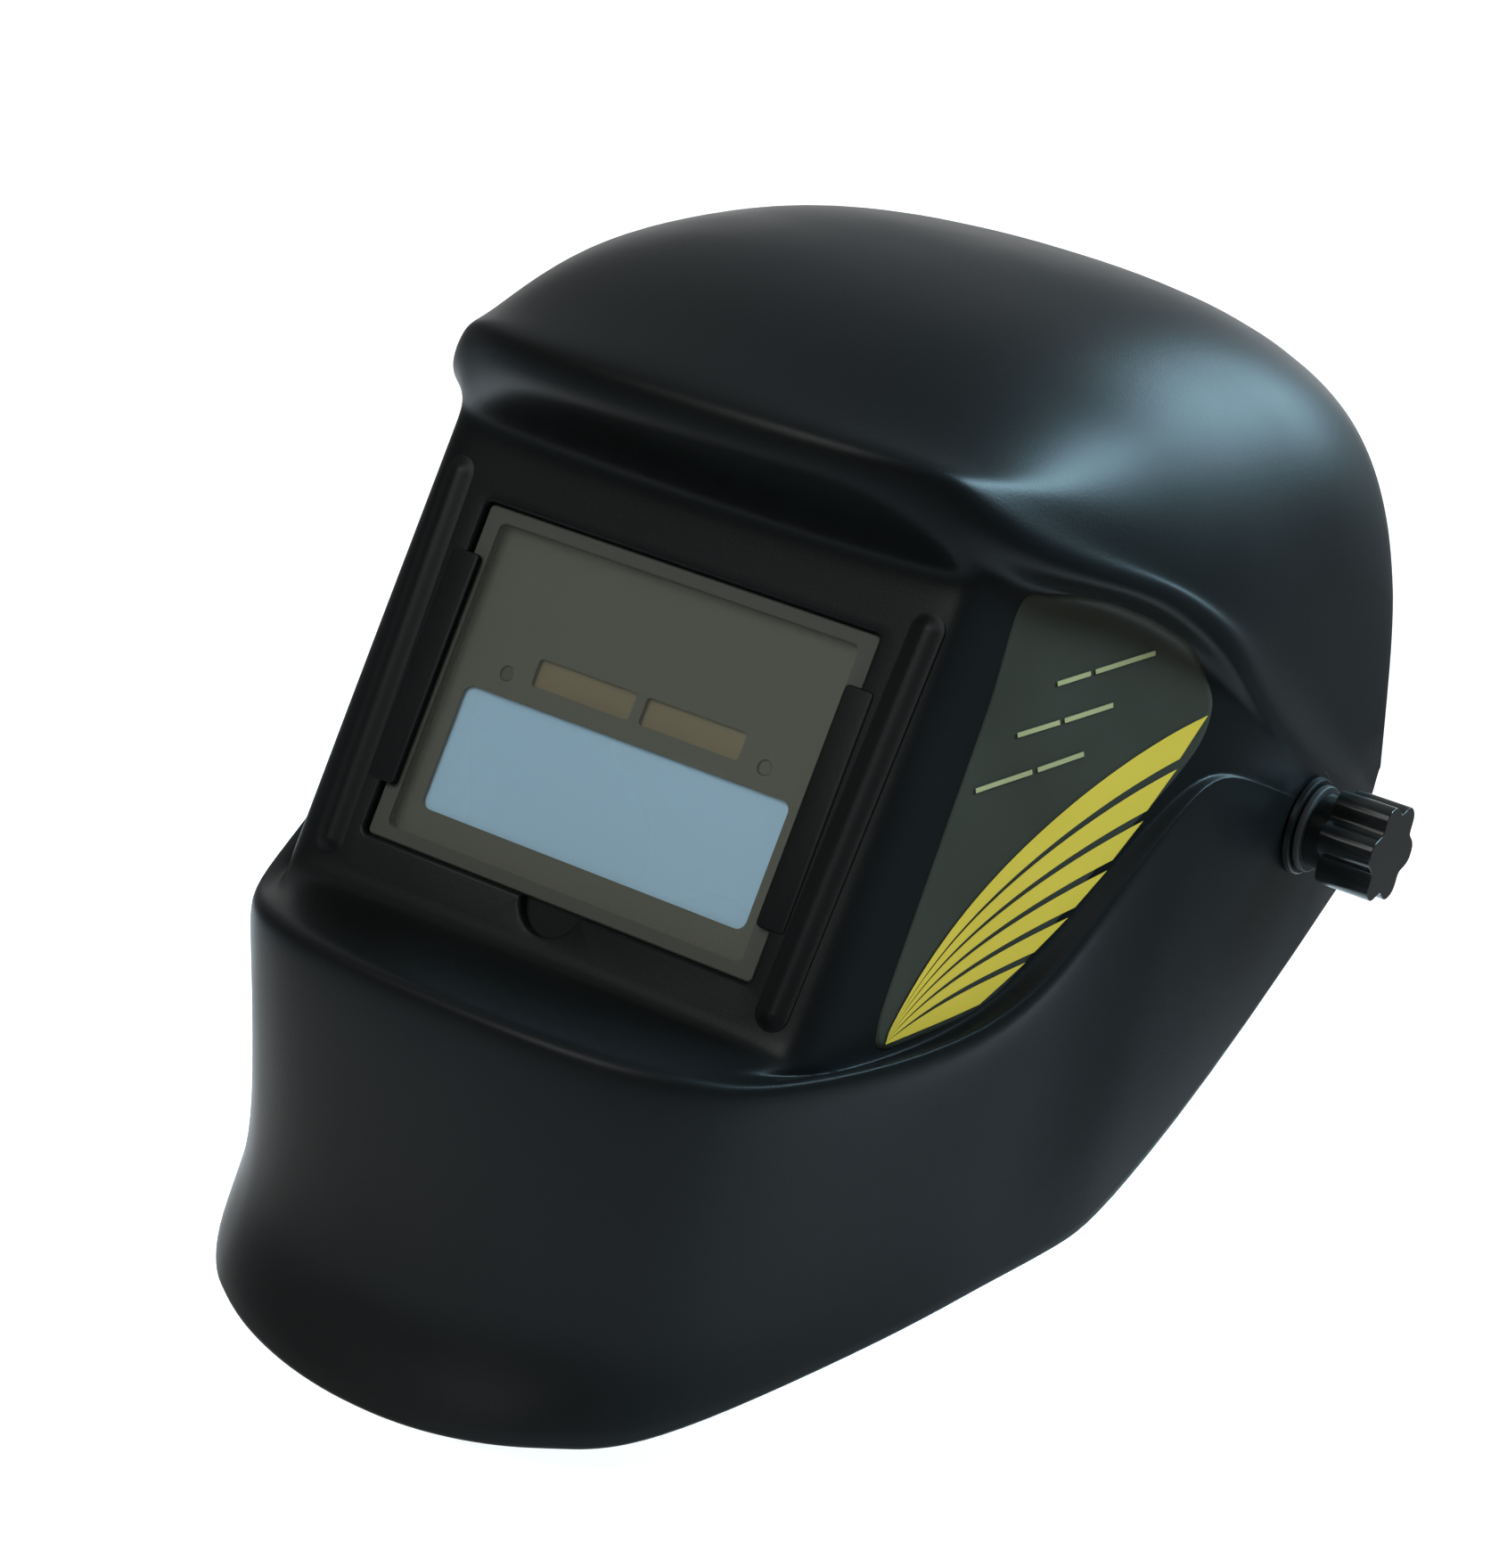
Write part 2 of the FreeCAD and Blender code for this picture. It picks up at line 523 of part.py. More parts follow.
def tooth_outline(count, pitch_r, tip_r, root_r, pressure=20.0, backlash=0.25):
    """Outline points (x, z) of an involute pinion with one tooth pointing up."""
    base = pitch_r * math.cos(math.radians(pressure))

    def involute(r):
        a = math.acos(base / r)
        return math.tan(a) - a

    half = (math.pi * pitch_r / count - backlash) / 2 / pitch_r + involute(pitch_r)
    points = []
    for k in range(count):
        middle = math.pi / 2 - 2 * math.pi * k / count
        flank = [(tip_r - (tip_r - base) * i / 5, half - involute(max(base, tip_r - (tip_r - base)
                                                                       * i / 5))) for i in range(6)]
        flank = [(root_r, flank[-1][1])] + flank[::-1]
        for r, a in flank:
            points.append((r * math.cos(middle + a), r * math.sin(middle + a)))
        for r, a in flank[::-1]:
            points.append((r * math.cos(middle - a), r * math.sin(middle - a)))
    return points


def prism_y(outline, y0, y1):
    points = [V(x, y0, z) for x, z in outline]
    return Part.Face(Part.makePolygon(points + points[:1])).extrude(V(0, y1 - y0, 0))


def rack(tooth_shift):
    """Toothed strap end above the pinion, teeth down, for the wearer's left strap."""
    pitch = 2 * math.pi * PITCH_R / PINION_TEETH
    line, back = RATCHET_Z + PITCH_R, RATCHET_Z + PITCH_R + 5.5
    tip, root, slope = 0.8, 1.5, math.tan(math.radians(20))
    half = pitch / 4 - 0.12
    bar = box(-22, 40, RACK_Y, RACK_Y + RACK_T, line + root, back)
    tab = box(38, 54, RACK_Y, RACK_Y + RACK_T, RATCHET_Z - 5.5, back)
    body = bar.fuse(tab)
    for k in range(-5, 8):
        middle = (k + tooth_shift) * pitch
        if middle < -20 or middle > 34:
            continue
        tooth = [(middle - half - root * slope, line + root + 0.01),
                 (middle - half + tip * slope, line - tip),
                 (middle + half - tip * slope, line - tip),
                 (middle + half + root * slope, line + root + 0.01)]
        body = body.fuse(prism_y(tooth, RACK_Y, RACK_Y + RACK_T))
    return body.removeSplitter()


def ratchet_parts():
    low, high = RATCHET_Z - 19, RATCHET_Z + 19
    base = rounded_box(-34, 34, 106.2, 108.6, low, high, 8, 1)
    cover = rounded_box(-34, 34, 108.7, 117.5, low, high, 8, 1)
    slot_half = PITCH_R + 5.5 + FIT_GAP + 0.2
    cover = cover.cut(box(-40, 40, 108.0, RACK_Y + RACK_T + FIT_GAP, RATCHET_Z - slot_half,
                          RATCHET_Z + slot_half))
    cover = cover.cut(rod_y(4.55, 108, 120, 0, RATCHET_Z))
    pinion = prism_y([(x, z + RATCHET_Z) for x, z in
                      tooth_outline(PINION_TEETH, PITCH_R, 8.2, 5.4)], 109.1, 111.0)
    pinion = pinion.fuse(rod_y(4.5, 110.5, 128.0, 0, RATCHET_Z)).cut(rod_y(1.3, 116, 130, 0, RATCHET_Z))
    knob = lobed_outline(0, 22.0, 2.2, 10).extrude(V(12.0, 0, 0))
    knob.rotate(V(0, 0, 0), AXIS_Z, 90)
    knob.translate(V(0, 119.6, RATCHET_Z))
    knob = knob.cut(rod_y(14.0, 119.0, 122.0, 0, RATCHET_Z)).cut(rod_y(4.55, 118, 128.1, 0, RATCHET_Z))
    knob = knob.cut(rod_y(1.6, 127, 132, 0, RATCHET_Z)).cut(rod_y(4.0, 130.2, 133, 0, RATCHET_Z))
    screw = rod_y(1.25, 117, 130.5, 0, RATCHET_Z).fuse(rod_y(3.2, 130.3, 131.5, 0, RATCHET_Z))
    spring = rod_y(12.5, 118.0, 119.0, 0, RATCHET_Z).cut(rod_y(6.0, 117, 121, 0, RATCHET_Z))
    screws = []
    for x in (-26, 26):
        for z in (low + 4.2, high - 4.2):
            base = base.cut(rod_y(1.55, 106, 109, x, z))
            cover = cover.cut(rod_y(1.6, 108, 118, x, z))
            screws.append(rod_y(1.5, 106.4, 118.0, x, z).fuse(rod_y(2.8, 117.6, 119.0, x, z)))
    pad = rounded_box(-38, 38, 97.0, 106.1, low - 2, high + 2, 3, 0)
    left = rack(0.5)
    right = left.copy()
    right.rotate(V(0, 0, RATCHET_Z), AXIS_Y, 180)
    return {"ratchet_base": base, "ratchet_cover": cover, "ratchet_pinion": pinion,
            "ratchet_knob": knob, "ratchet_knob_screw": screw, "ratchet_spring": spring,
            "ratchet_screws": Part.makeCompound(screws), "nape_pad": pad,
            "rack_left": left, "rack_right": right}


def build():
    net = shell_net()
    surface = spline_surface(net)
    parts = {"shell": make_shell(net, surface)}
    parts["front_cover_lens"] = on_front(plate(LENS_W, LENS_H, 1.8, 1.8 + LENS_T))
    decal = make_decal(net, surface)
    parts["side_decal_left"] = decal
    parts["side_decal_right"] = mirror(decal)
    for group in (cartridge_parts(), holder_parts()):
        parts.update({name: on_front(shape) for name, shape in group.items()})
    for name, shape in pivot_parts().items():
        parts[name + "_left"] = shape
        parts[name + "_right"] = mirror(shape)
    parts.update(headgear_parts())
    parts.update(ratchet_parts())
    return parts


def main():
    os.makedirs("parts", exist_ok=True)
    for name, shape in build().items():
        if not shape.isValid():
            print("not valid:", name)
        shape.exportStep(os.path.join("parts", name + ".step"))


main()
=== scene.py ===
"""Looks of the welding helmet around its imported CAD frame.

Sizes are written in millimetres and turned into metres when a mesh is made.
+Z is up, the helmet looks along -Y, the wearer's left is +X.
"""
import bmesh
import bpy
import json
import math
import numpy as np
from mathutils import Matrix, Vector
from mathutils.bvhtree import BVHTree

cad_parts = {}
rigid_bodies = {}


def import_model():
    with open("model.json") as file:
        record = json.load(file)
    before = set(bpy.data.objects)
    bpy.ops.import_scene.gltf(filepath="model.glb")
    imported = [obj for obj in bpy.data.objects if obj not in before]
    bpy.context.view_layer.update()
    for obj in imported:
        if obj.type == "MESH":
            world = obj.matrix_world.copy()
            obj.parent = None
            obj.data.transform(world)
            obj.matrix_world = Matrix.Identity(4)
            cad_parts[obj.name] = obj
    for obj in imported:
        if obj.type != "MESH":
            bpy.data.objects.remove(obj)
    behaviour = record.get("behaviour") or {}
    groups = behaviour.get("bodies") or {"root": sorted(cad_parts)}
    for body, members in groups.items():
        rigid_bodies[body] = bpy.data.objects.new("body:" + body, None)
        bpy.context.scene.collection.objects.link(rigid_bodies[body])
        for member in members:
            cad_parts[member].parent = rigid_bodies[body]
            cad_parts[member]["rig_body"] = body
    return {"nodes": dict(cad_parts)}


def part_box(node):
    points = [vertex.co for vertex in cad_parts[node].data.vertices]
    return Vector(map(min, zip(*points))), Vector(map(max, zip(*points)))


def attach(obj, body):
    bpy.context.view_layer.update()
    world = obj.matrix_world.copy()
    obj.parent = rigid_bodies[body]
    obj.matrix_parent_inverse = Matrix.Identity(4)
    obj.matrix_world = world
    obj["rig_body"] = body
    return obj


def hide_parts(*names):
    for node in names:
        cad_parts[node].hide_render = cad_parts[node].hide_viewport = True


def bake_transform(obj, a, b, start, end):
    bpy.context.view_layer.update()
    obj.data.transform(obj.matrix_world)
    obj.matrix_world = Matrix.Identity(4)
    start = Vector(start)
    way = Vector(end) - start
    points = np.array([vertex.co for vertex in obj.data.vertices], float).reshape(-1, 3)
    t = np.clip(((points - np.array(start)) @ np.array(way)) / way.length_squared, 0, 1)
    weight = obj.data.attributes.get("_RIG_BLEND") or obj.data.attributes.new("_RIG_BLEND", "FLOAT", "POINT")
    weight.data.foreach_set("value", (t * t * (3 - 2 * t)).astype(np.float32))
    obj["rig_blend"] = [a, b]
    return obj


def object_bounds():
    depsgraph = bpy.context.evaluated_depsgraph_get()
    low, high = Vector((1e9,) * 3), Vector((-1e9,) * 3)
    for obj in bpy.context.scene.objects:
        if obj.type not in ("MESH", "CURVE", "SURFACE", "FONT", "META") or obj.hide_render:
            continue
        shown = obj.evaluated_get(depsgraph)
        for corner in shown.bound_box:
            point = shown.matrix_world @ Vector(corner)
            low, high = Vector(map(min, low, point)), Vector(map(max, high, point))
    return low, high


MM = 0.001
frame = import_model()
cad_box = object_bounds()

# ---- sizes shared with the design ----
HALF_WIDTH = 116.0
REAR_EDGE_Y = 45.0
REAR_TAPER = 0.0018             # draws the walls in behind the pivots
WALL = 2.5
LEAN = math.radians(12.0)
PANEL = np.array((0.0, -152.0, -11.0))
WALL_POWER = 1.6
COMMON_FRONT, COMMON_POWER = 200.0, 3.75    # the wall that every row blends into towards the rear
SHARED_FROM, SHARED_OVER = -88.0, 30.0      # where that blend starts, and over what length
FRONT_SHARES = (0.0, 0.38, 0.76, 1.0)       # net points across the flat front
CORNER_STEP, CORNER_LENGTH = 5.5, 14.0      # net points round the corner after it
SIDE_Y = (-112.0, -90.0, -65.0, -51.0, -10.0, REAR_EDGE_Y)
PANEL_X = (0.0, 26.0, 52.0, 68.0)           # net points across the sunk panel
RIDGE_X, RIDGE_BACK = 77.5, 1.0
RECESS_X, RECESS_BACK = 80.5, 18.0
RECESS_SHARES = (1.0, 0.85, 0.65, 0.0, 0.0, 0.0)    # how the side recess runs out along SIDE_Y
FADE_FROM, FADE_OVER = -10.0, 60.0
DOME_ANGLES = (0, 13, 26, 37, 45, 52, 59, 65, 70.5, 73.5, 82, 90)
SAMPLES = 6                     # mesh steps per span of the shell's control net


# ---- shell surface ----
def curve(points, x):
    """Smooth monotone curve through (x, value) stations."""
    if x <= points[0][0]:
        return points[0][1]
    if x >= points[-1][0]:
        return points[-1][1]
    gaps = [b[0] - a[0] for a, b in zip(points, points[1:])]
    slopes = [(b[1] - a[1]) / g for a, b, g in zip(points, points[1:], gaps)]
    tangents = [slopes[0]]
    for i in range(1, len(slopes)):
        if slopes[i - 1] * slopes[i] <= 0:
            tangents.append(0.0)
            continue
        w1, w2 = 2 * gaps[i] + gaps[i - 1], gaps[i] + 2 * gaps[i - 1]
        tangents.append((w1 + w2) / (w1 / slopes[i - 1] + w2 / slopes[i]))
    tangents.append(slopes[-1])
    i = max(k for k in range(len(slopes)) if points[k][0] <= x)
    t = (x - points[i][0]) / gaps[i]
    return ((1 + 2 * t) * (1 - t) ** 2 * points[i][1] + t * (1 - t) ** 2 * gaps[i] * tangents[i]
            + t * t * (3 - 2 * t) * points[i + 1][1] + t * t * (t - 1) * gaps[i] * tangents[i + 1])


def wall_x(y, front, power):
    """Half width of a superelliptic wall whose front lies at -front."""
    if y >= 0:
        return HALF_WIDTH - REAR_TAPER * y * y
    own = HALF_WIDTH * max(0.0, 1 - (-y / front) ** WALL_POWER) ** (1 / power)
    if y <= SHARED_FROM:
        return own
    common = HALF_WIDTH * (1 - (-y / COMMON_FRONT) ** WALL_POWER) ** (1 / COMMON_POWER)
    blend = min(1.0, (y - SHARED_FROM) / SHARED_OVER)
    return own + (common - own) * blend


def wall_y(x, front, power):
    """Depth of the same wall at a given half width."""
    return -front * max(0.0, 1 - (x / HALF_WIDTH) ** power) ** (1 / WALL_POWER)


def wall_row(front, power, corner, side, sag=0.0):
    """Net row on the outer wall: flat front out to corner, then round to the rear edge."""
    row = []
    for share in FRONT_SHARES:
        y = wall_y(corner * share, front, power)
        row.append((corner * share, y, curve(side, y) - sag * (1 - share ** 2)))
    turn = row[-1][1] + CORNER_STEP
    for y in (turn, turn + CORNER_LENGTH) + SIDE_Y:
        row.append((wall_x(y, front, power), y, curve(side, y)))
    return row


def panel_row(z, brow, depth, side):
    """Net row on the sunk panel: flat front, corner ridge, then the side recess."""
    y0 = PANEL[1] + (z - PANEL[2]) * math.tan(LEAN)
    row = [(x, y0, z) for x in PANEL_X]
    row.append((RIDGE_X, y0 + RIDGE_BACK, z))
    row.append((RECESS_X, y0 + RECESS_BACK, curve(side, y0 + RECESS_BACK)))
    front, power = COMMON_FRONT - 28 * brow, COMMON_POWER - 0.75 * brow
    for y, share in zip(SIDE_Y, RECESS_SHARES):
        row.append((wall_x(y, front, power) - depth * share, y, curve(side, y)))
    return row


def dome_row(crown_y, crown_z, rear_z, power, bow, width):
    """Net row over the dome, from the crown down each side to the rear edge."""
    row = []
    end_x = wall_x(REAR_EDGE_Y, COMMON_FRONT, COMMON_POWER)
    for i, angle in enumerate(DOME_ANGLES):
        s, c = math.sin(math.radians(angle)), math.cos(math.radians(angle))
        t = 1 - c ** (2 / power)
        x = width * HALF_WIDTH * s ** (2 / power)
        x += (end_x - HALF_WIDTH * width) * (i / (len(DOME_ANGLES) - 1)) ** 3
        y = crown_y + (REAR_EDGE_Y - crown_y) * t - bow * math.sin(math.pi * t)
        row.append((x, y, crown_z + (rear_z - crown_z) * t))
    return row


def lifted(side, rise):
    """The ledge line moved by rise at the front, fading out towards the pivot."""
    return [(y, z + rise * max(0.0, min(1.0, (FADE_FROM - y) / FADE_OVER))) for y, z in side]


# lines of the net rows along the side: (depth, height) stations
RIM = [(-200, -169), (-178, -167), (-165, -161), (-98, -123), (-52, -101), (-32, -84),
       (5, -46), (38, -17), (45, -14)]
LIP = [(-200, -162), (-178, -160), (-165, -155), (-98, -119), (-52, -97), (-32, -81),
       (5, -43), (38, -15), (45, -12.5)]
CHIN_LOW = [(-200, -148), (-170, -146), (-98, -108), (-52, -84), (-32, -69), (5, -36),
            (38, -12), (45, -9.5)]
CHIN_MID = [(-200, -122), (-170, -120), (-98, -82), (-69, -55), (-52, -42), (-10, -18),
            (38, -7), (45, -6)]
CHIN_TOP = [(-200, -92), (-157, -86), (-112, -62), (-90, -35), (-69, -15), (-57, -6),
            (-10, -3), (45, -3)]
LEDGE = [(-200, -72.5), (-178, -71.5), (-157, -71.5), (-136, -69), (-112, -54.5), (-90, -24),
         (-69, 3), (-57, 16), (-10, 6), (45, 0)]
# recess rows: height at the middle, share of the brow's outline, depth of the recess, side line
RECESS = (
    (-62, 0.1, 6, [(-200, -62), (-140, -65), (-112, -51.5), (-90, -21.5), (-69, 6), (-57, 18),
                   (-10, 7.5), (45, 1)]),
    (-22, 0.4, 7, [(-200, -22), (-140, -18), (-112, -6), (-90, 8), (-69, 20), (-57, 22.5),
                   (-10, 8.5), (45, 2)]),
    (18, 0.7, 8, [(-200, 18), (-140, 17), (-112, 21), (-90, 27), (-69, 27.5), (-57, 26.5),
                  (-10, 9.5), (45, 3)]),
    (44, 1.0, 8, [(-200, 44), (-112, 46), (-90, 44.5), (-69, 38), (-57, 31), (-10, 10.5), (45, 4)]),
    (50, 1.0, 8, [(-200, 50), (-140, 50), (-112, 51), (-90, 49.5), (-69, 42.5), (-57, 33.5),
                  (-10, 11.2), (45, 4.7)]),
)
# brow rows: where the front lies, roundness, side line
BROW = (
    (165.5, 3.3, [(-200, 61), (-155, 61), (-146, 54.5), (-112, 53.2), (-90, 51.8), (-69, 45),
                  (-57, 35.5), (-10, 12.5), (45, 5.5)]),
    (168.5, 3.6, [(-200, 67.5), (-155, 67), (-146, 60), (-134, 56.5), (-112, 54.8), (-90, 53.4),
                  (-69, 46.7), (-57, 37), (-10, 13.2), (45, 5.7)]),
    (169, 3.7, [(-200, 72), (-155, 72), (-148, 69), (-141, 64), (-134, 60), (-112, 57),
                (-90, 55.5), (-69, 49), (-57, 39), (-10, 14.5), (45, 6.1)]),
    (166.5, 3.6, [(-200, 75.5), (-155, 75.5), (-148, 73), (-141, 69), (-134, 65.5), (-112, 61),
                  (-90, 59), (-69, 52.5), (-57, 42.5), (-10, 17), (45, 6.7)]),
)
# dome rows: crown depth, crown height, rear height, roundness, forward bow, width
DOME = (
    (-151, 86, 8, 3.1, 0, 0.985),
    (-122, 106, 9, 3.0, 0, 0.98),
    (-78, 118, 10, 2.9, 0, 0.975),
    (-30, 125.5, 11, 2.9, 0, 0.97),
    (15, 124.5, 12.5, 2.8, 4, 0.965),
    (42, 119, 14, 2.75, 12, 0.96),
)


def shell_net():
    """Control rows of the shell's outer face, from the bottom rim up and over to the rear rim."""
    rows = [
        wall_row(192, 2.9, 52, RIM, 7),
        wall_row(191, 2.9, 52, LIP, 7),
        wall_row(183, 3.1, 52, CHIN_LOW, 4),
        wall_row(190, 3.15, 54, CHIN_MID, 1),
        wall_row(199, 3.5, 56, CHIN_TOP),
        wall_row(202, 3.75, 58, lifted(LEDGE, -5)),
        wall_row(201.5, 3.75, 58, lifted(LEDGE, -1.2)),
        wall_row(199, 3.72, 58, LEDGE),
        wall_row(192, 3.65, 58, lifted(LEDGE, 0.6)),
        panel_row(-68.0, 0.0, 6, lifted(LEDGE, 1.3)),
    ]
    rows += [panel_row(z, brow, depth, side) for z, brow, depth, side in RECESS]
    rows += [wall_row(front, power, 67, side) for front, power, side in BROW]
    rows += [dome_row(*station) for station in DOME]
    return np.array([[(-x, y, z) for x, y, z in row[:0:-1]] + row for row in rows])


def basis(count, params, degree=3):
    """Weights of a clamped uniform spline's control points at each parameter."""
    inner = count - degree
    knots = np.concatenate([np.zeros(degree), np.arange(inner + 1) / inner, np.ones(degree)])
    t = params[:, None]
    weights = ((t >= knots[:-1]) & (t < knots[1:])).astype(float)
    weights[params >= 1.0, count - 1] = 1.0
    for k in range(1, degree + 1):
        def ratio(top, bottom):
            return np.divide(top, bottom, out=np.zeros(np.broadcast(top, bottom).shape),
                             where=bottom > 0)
        rising = ratio(t - knots[:-k - 1], np.broadcast_to(knots[k:-1] - knots[:-k - 1],
                                                           (len(params), len(knots) - k - 1)))
        falling = ratio(knots[k + 1:] - t, np.broadcast_to(knots[k + 1:] - knots[1:-k],
                                                           (len(params), len(knots) - k - 1)))
        weights = rising * weights[:, :-1] + falling * weights[:, 1:]
    return weights


def outer_grid():
    """Points and outward normals of the shell's outer face on a fine grid."""
    net = shell_net()
    rows, columns = net.shape[:2]
    u = basis(rows, np.linspace(0, 1, SAMPLES * (rows - 3) + 1))
    v = basis(columns, np.linspace(0, 1, SAMPLES * (columns - 3) + 1))
    points = np.einsum("ij,jkl,mk->iml", u, net, v)
    normals = np.cross(np.gradient(points, axis=1), np.gradient(points, axis=0))
    for i, j in np.argwhere(np.linalg.norm(normals, axis=2) == 0):
        normals[i, j] = normals[i, 1 if j == 0 else j - 1]      # where rows meet on the rear edge
    normals /= np.linalg.norm(normals, axis=2, keepdims=True)
    middle = (points.shape[0] // 2, points.shape[1] // 2)
    if np.dot(normals[middle], points[middle] - np.array((0, -60, -10))) < 0:
        normals = -normals
    return points, normals


# ---- mesh helpers ----
def link(name, mesh, material, body, sharp=40.0):
    """New smooth-shaded object that rides on a body."""
    obj = bpy.data.objects.new(name, mesh)
    bpy.context.scene.collection.objects.link(obj)
    mesh.materials.clear()
    mesh.materials.append(material)
    mesh.shade_smooth()
    if sharp:
        mesh.set_sharp_from_angle(angle=math.radians(sharp))
    if body:
        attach(obj, body)
    return obj


def mesh_of(name, verts, faces):
    """Mesh in metres from points in millimetres."""
    mesh = bpy.data.meshes.new(name)
    mesh.from_pydata([tuple(np.asarray(v) * MM) for v in verts], [], faces)
    mesh.update()
    return mesh


def tidy_normals(mesh):
    bm = bmesh.new()
    bm.from_mesh(mesh)
    bmesh.ops.recalc_face_normals(bm, faces=bm.faces)
    bm.to_mesh(mesh)
    bm.free()


def baked(obj):
    """Replaces an object's mesh by the result of its modifiers."""
    graph = bpy.context.evaluated_depsgraph_get()
    mesh = bpy.data.meshes.new_from_object(obj.evaluated_get(graph))
    obj.modifiers.clear()
    obj.data = mesh
    return obj


class Build:
    """Collects points and faces of one mesh."""
    def __init__(self):
        self.verts = []
        self.faces = []

    def add(self, points):
        start = len(self.verts)
        self.verts.extend(tuple(p) for p in points)
        return list(range(start, start + len(points)))

    def bridge(self, a, b, closed=True):
        count = len(a)
        for i in range(count if closed else count - 1):
            j = (i + 1) % count
            self.faces.append((a[i], a[j], b[j], b[i]))

    def loft(self, loops, cap_first=False, cap_last=False, closed=True):
        ids = [self.add(loop) for loop in loops]
        for a, b in zip(ids, ids[1:]):
            self.bridge(a, b, closed)
        if cap_first:
            self.faces.append(tuple(reversed(ids[0])))
        if cap_last:
            self.faces.append(tuple(ids[-1]))
        return ids

    def mesh(self, name):
        mesh = mesh_of(name, self.verts, self.faces)
        tidy_normals(mesh)
        return mesh


def on_front(points):
    """(x, depth, up) points around the lens middle, placed on the leaning panel."""
    p = np.asarray(points, float)
    c, s = math.cos(LEAN), math.sin(LEAN)
    return np.stack([p[..., 0], c * p[..., 1] + s * p[..., 2],
                     -s * p[..., 1] + c * p[..., 2]], axis=-1) + PANEL


def rounded_rect(width, height, radius, x=0.0, u=0.0, steps=6):
    """Closed outline of (x, u) points, anticlockwise."""
    points = []
    for cx, cu, start in ((1, 1, 0), (-1, 1, 90), (-1, -1, 180), (1, -1, 270)):
        for i in range(steps + 1):
            a = math.radians(start + 90 * i / steps)
            points.append((x + cx * (width / 2 - radius) + radius * math.cos(a),
                           u + cu * (height / 2 - radius) + radius * math.sin(a)))
    return np.array(points)


def grown(outline, distance):
    """Closed outline moved outwards along its mitred normals."""
    before, after = np.roll(outline, 1, axis=0), np.roll(outline, -1, axis=0)
    def side(a, b):
        d = b - a
        d = d / np.maximum(np.linalg.norm(d, axis=1, keepdims=True), 1e-9)
        return np.stack([d[:, 1], -d[:, 0]], axis=1)
    n1, n2 = side(before, outline), side(outline, after)
    n = n1 + n2
    n /= np.maximum(np.linalg.norm(n, axis=1, keepdims=True), 1e-9)
    return outline + n * distance / np.maximum((n * n1).sum(1, keepdims=True), 0.5)


def at_depth(outline, depth):
    """(x, up) outline placed at a depth behind the panel's face."""
    return on_front(np.stack([outline[:, 0], np.full(len(outline), depth), outline[:, 1]], axis=1))


def slab(build, outline, d0, d1, bevel):
    """Plate on the panel with its front and back edges rounded."""
    loops = []
    for a in np.radians((0, 30, 60, 90)):
        edge = grown(outline, -bevel * (1 - math.sin(a)))
        loops.append(at_depth(edge, d0 + bevel * (1 - math.cos(a))))
    for a in np.radians((0, 30, 60, 90)):
        edge = grown(outline, -bevel * (1 - math.cos(a)))
        loops.append(at_depth(edge, d1 - bevel * (1 - math.sin(a))))
    build.loft(loops, True, True)


# ---- materials ----
def node(tree, kind, **values):
    made = tree.nodes.new(kind)
    for key, value in values.items():
        if key in made.inputs:
            made.inputs[key].default_value = value
        else:
            setattr(made, key, value)
    return made


def mapped(tree, source, low, high, first, last, shape="LINEAR"):
    """Value that goes from first to last while the source goes from low to high."""
    made = node(tree, "ShaderNodeMapRange", interpolation_type=shape)
    for key, value in (("From Min", low), ("From Max", high), ("To Min", first), ("To Max", last)):
        made.inputs[key].default_value = value
    tree.links.new(source, made.inputs["Value"])
    return made.outputs["Result"]


def math_node(tree, operation, a, b):
    """Result of a sum on two values, each a number or another node's output."""
    made = node(tree, "ShaderNodeMath", operation=operation)
    for socket, value in zip(made.inputs, (a, b)):
        if isinstance(value, float):
            socket.default_value = value
        else:
            tree.links.new(value, socket)
    return made.outputs["Value"]


NOISE_LOW, NOISE_HIGH = 0.3, 0.7    # between these most of a noise texture's values lie


def material(name, color, rough, grain=900.0, bump=0.15, vary=0.12, spec=0.5, metal=0.0,
             sheen=0.0, rough_vary=0.06, broad=30.0):
    """Procedural finish: fine grain in the surface, slow changes in tone and gloss."""
    made = bpy.data.materials.new(name)
    made.use_nodes = True
    tree = made.node_tree
    shader = tree.nodes["Principled BSDF"]
    shader.inputs["Metallic"].default_value = metal
    shader.inputs["Specular IOR Level"].default_value = spec
    shader.inputs["Sheen Weight"].default_value = sheen
    place = node(tree, "ShaderNodeTexCoord")
    fine = node(tree, "ShaderNodeTexNoise", Scale=grain, Detail=3.0, Roughness=0.6)
    slow = node(tree, "ShaderNodeTexNoise", Scale=broad, Detail=2.0, Roughness=0.5)
    for texture in (fine, slow):
        tree.links.new(place.outputs["Object"], texture.inputs["Vector"])
    tone = mapped(tree, slow.outputs["Fac"], NOISE_LOW, NOISE_HIGH, 1 - vary, 1 + vary)
    mix = node(tree, "ShaderNodeVectorMath", operation="SCALE")
    mix.inputs[0].default_value = color
    tree.links.new(tone, mix.inputs["Scale"])
    tree.links.new(mix.outputs["Vector"], shader.inputs["Base Color"])
    gloss = mapped(tree, slow.outputs["Fac"], NOISE_LOW, NOISE_HIGH, rough - rough_vary, rough + rough_vary)
    tree.links.new(gloss, shader.inputs["Roughness"])
    relief = node(tree, "ShaderNodeBump", Strength=bump, Distance=0.0004)
    tree.links.new(fine.outputs["Fac"], relief.inputs["Height"])
    tree.links.new(relief.outputs["Normal"], shader.inputs["Normal"])
    return made


